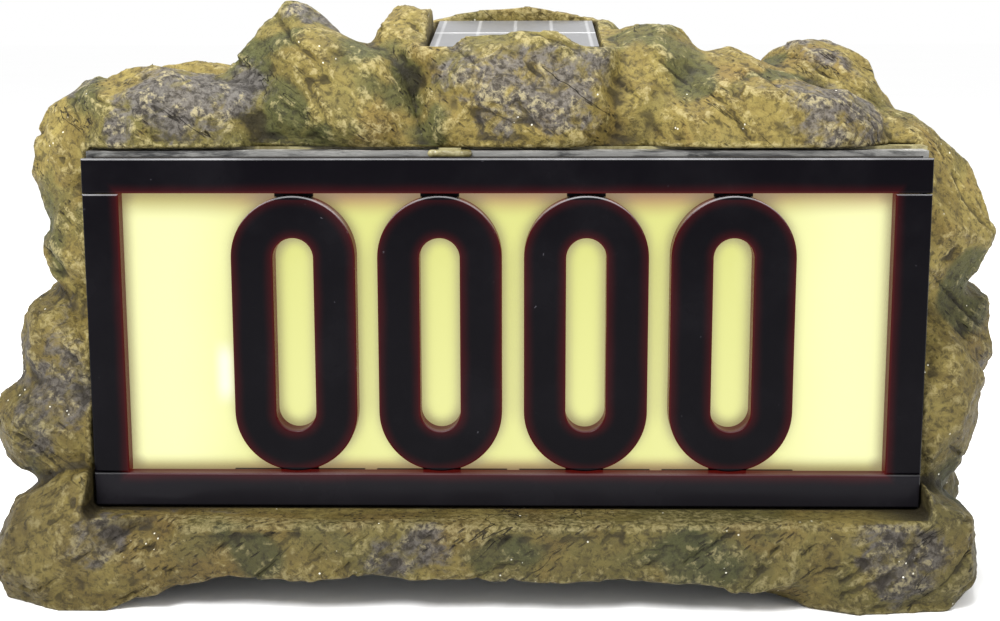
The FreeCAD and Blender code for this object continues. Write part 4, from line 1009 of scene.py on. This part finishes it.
def metal(name, colour, roughness):
    """Plated metal with turning marks and stains."""
    plated = Finish(name, Roughness=roughness, Metallic=1.0)
    marks = plated.noise(TURNING_MARKS, 4.0, 0.6, 0.4, plated.stretched((1.0, 1.0, 0.17)))
    stains = plated.step(plated.noise(0.006, 3.0), 0.5, 0.7)
    tone = plated.mix(stains * 0.4, colour, tuple(share * 0.55 for share in colour))
    dull = plated.step(marks, 0.3, 0.7, roughness, roughness + 0.2)
    plated.feed(Base_Color=tone, Roughness=dull)
    return plated.bump(marks, 0.00004)


dress(metal("zinc", (0.62, 0.62, 0.60), 0.32), "cover_screws", "board_screws")
dress(metal("brass", (0.72, 0.50, 0.20), 0.30), "screw_inserts")
dress(metal("nickel", (0.75, 0.74, 0.70), 0.22), "battery_contacts", "boost_coil", "solar_ribbon")

# %% [markdown]
# ## Boards, lamps and battery cells
#
# The boards have copper tracks under green varnish and bare pads, the lamps are warm
# glowing resin, and each cell wears a green jacket with a pale band and a steel end.

# %% Boards, lamps and cells
JACKET = 38.5 * MM
STEEL_END = 1.1 * MM


def varnished_board(name):
    """Green varnish over copper tracks, with bare pads."""
    board = Finish(name, Roughness=0.3)
    grid = board.cells(0.0045, "DISTANCE_TO_EDGE")
    tracks = board.step(grid, 0.03, 0.09)
    tone = board.mix(tracks, (0.10, 0.26, 0.09), (0.012, 0.085, 0.030))
    pads = 1.0 - board.step(board.cells(0.006), 0.10, 0.14)
    tone = board.mix(pads, tone, (0.70, 0.68, 0.60))
    board.feed(Base_Color=tone)
    return board.bump(tracks, 0.00006)


def lamp_resin():
    """Warm glowing resin."""
    lamp = Finish("lamp_resin", Roughness=0.15, Emission_Strength=2.0)
    glow = lamp.noise(0.002, 2.0)
    return lamp.feed(Emission_Color=lamp.mix(glow, (1.0, 0.90, 0.55), (1.0, 0.97, 0.80)),
                     Base_Color=lamp.mix(glow, (0.9, 0.9, 0.8), (0.95, 0.95, 0.85)))


def cell_jacket():
    """A green jacket, a pale band and a steel end, one after another along x."""
    jacket = Finish("cell_jacket", Roughness=0.28)
    low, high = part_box("battery_cell_1")
    tail = jacket.step(jacket.x, low[0] + JACKET, low[0] + JACKET + 0.5 * MM)
    tone = jacket.mix(tail, (0.016, 0.13, 0.035), (0.55, 0.55, 0.53))
    steel = jacket.step(jacket.x, high[0] - STEEL_END, high[0] - STEEL_END + 0.1 * MM)
    tone = jacket.mix(steel, tone, (0.75, 0.74, 0.72))
    jacket.feed(Base_Color=tone, Metallic=steel)
    return jacket.bump(jacket.noise(0.0009, 2.0), 0.00002)


dress(varnished_board("green_board"), "control_board", "led_board_left", "led_board_right")
dress(lamp_resin(), "led_lamps_left", "led_lamps_right")
dress(cell_jacket(), "battery_cell_1", "battery_cell_2", "battery_cell_3")

# %% [markdown]
# ## Glue and the solar panel
#
# Yellowish glue seals the tray into the rock. The panel is a stack: a pale board, dark
# cells with fine silver fingers, a solder ribbon, and a clear cast cover. The cover has
# gone milky outdoors and mirrors the sky at a low angle, so the panel looks pale grey; the
# ribbon and the gaps between the cells still show as fine lines.

# %% Glue, cells and cover
CELL_COUNT = 4
FINGER_PITCH = 2.2 * MM


def set_glue():
    """Lumpy yellowish glue."""
    glue = Finish("set_glue", Roughness=0.25, IOR=1.5)
    lumps = glue.noise(0.004, 4.0, 0.6, 0.8)
    tone = glue.mix(glue.step(lumps, 0.35, 0.65), (0.10, 0.082, 0.030), (0.29, 0.26, 0.13))
    glue.feed(Base_Color=tone)
    return glue.bump(lumps, 0.0008)


def silicon():
    """Dark blue crystals under fine silver fingers."""
    cell = Finish("silicon", Roughness=0.35)
    fingers = cell.y.sum("SINE", cell.y * (math.tau / FINGER_PITCH))
    lines = cell.step(fingers, 0.90, 0.99)
    crystal = cell.cells(0.009, "F1", None, "Color")
    tone = cell.mix(0.25, (0.012, 0.020, 0.060), crystal, "MULTIPLY")
    tone = cell.mix(lines * 0.6, tone, (0.45, 0.46, 0.48))
    return cell.feed(Base_Color=tone)


def cast_cover():
    """Weathered clear resin; the ribbon and the gaps between the cells shine through."""
    cover = Finish("cast_cover", Roughness=0.20, IOR=1.5, Transmission_Weight=0.55)
    haze = cover.noise(0.020, 3.0)
    tone = cover.mix(haze, (0.16, 0.16, 0.17), (0.26, 0.26, 0.26))
    cells_low, cells_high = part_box("solar_cells")
    ribbon_low, ribbon_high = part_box("solar_ribbon")
    half_cell = (cells_high[0] - cells_low[0]) / (2 * CELL_COUNT)
    gap = cover.x.sum("PINGPONG", cover.x - cells_low[0], half_cell)
    tone = cover.mix(cover.step(gap, 0.0003, 0.0009, 0.35, 0.0), tone, (0.80, 0.80, 0.80))
    off = (cover.y - (ribbon_low[1] + ribbon_high[1]) / 2).abs()
    line = cover.step(off, 0.0007, 0.0011, 1.0, 0.0)
    tone = cover.mix(line, tone, (0.95, 0.95, 0.95))
    cover.feed(Base_Color=tone, Roughness=cover.step(haze, 0.3, 0.7, 0.30, 0.42))
    return cover.bump(cover.noise(0.012, 2.0), 0.00006)


dress(set_glue(), "window_sealant")
dress(moulded("panel_board", (0.60, 0.60, 0.58), (0.70, 0.70, 0.68), 0.5), "solar_backing")
dress(silicon(), "solar_cells")
dress(cast_cover(), "solar_glazing")

# %% [markdown]
# ## Floor and light
#
# The sign was photographed on white under soft light from above, a little from the left. A
# large plane is the floor, the sky is pale, and three wide lamps give soft shadows.

# %% Floor, sky and lamps
FLOOR_SIZE = 60.0
BELOW_FEET = 0.1 * MM
LAMP_AIM = Vector((0.0, 0.0, 0.10))

bpy.ops.object.select_all(action="DESELECT")
bpy.ops.mesh.primitive_plane_add(size=FLOOR_SIZE, location=(0, 0, -BELOW_FEET))
floor = bpy.context.active_object
floor.name = "floor"
floor_finish = Finish("pale_floor", Roughness=1.0, Specular_IOR_Level=0.0)
floor_tone = floor_finish.mix(floor_finish.noise(0.4, 2.0), (0.98, 0.98, 0.98), (1.0, 1.0, 1.0))
floor_finish.feed(Base_Color=floor_tone)
floor.data.materials.append(floor_finish.material)

world = bpy.data.worlds.new("studio")
world.use_nodes = True
sky = world.node_tree.nodes["Background"]
sky.inputs["Color"].default_value = (1.0, 1.0, 1.0, 1.0)
sky.inputs["Strength"].default_value = 1.0
bpy.context.scene.world = world
bpy.context.scene.view_settings.view_transform = "Standard"


def soft_lamp(name, place, power, size):
    """A wide square lamp that looks at the middle of the sign."""
    data = bpy.data.lights.new(name, "AREA")
    data.energy = power
    data.size = size
    lamp = bpy.data.objects.new(name, data)
    bpy.context.scene.collection.objects.link(lamp)
    lamp.location = place
    toward = LAMP_AIM - Vector(place)
    lamp.rotation_euler = toward.to_track_quat("-Z", "Y").to_euler()
    print("lamp", name, power, "watts")


soft_lamp("key", (-0.45, -0.80, 1.00), 22.0, 0.45)
soft_lamp("fill", (0.95, -0.60, 0.60), 4.0, 0.6)
soft_lamp("top", (0.10, 0.20, 1.20), 13.0, 0.5)
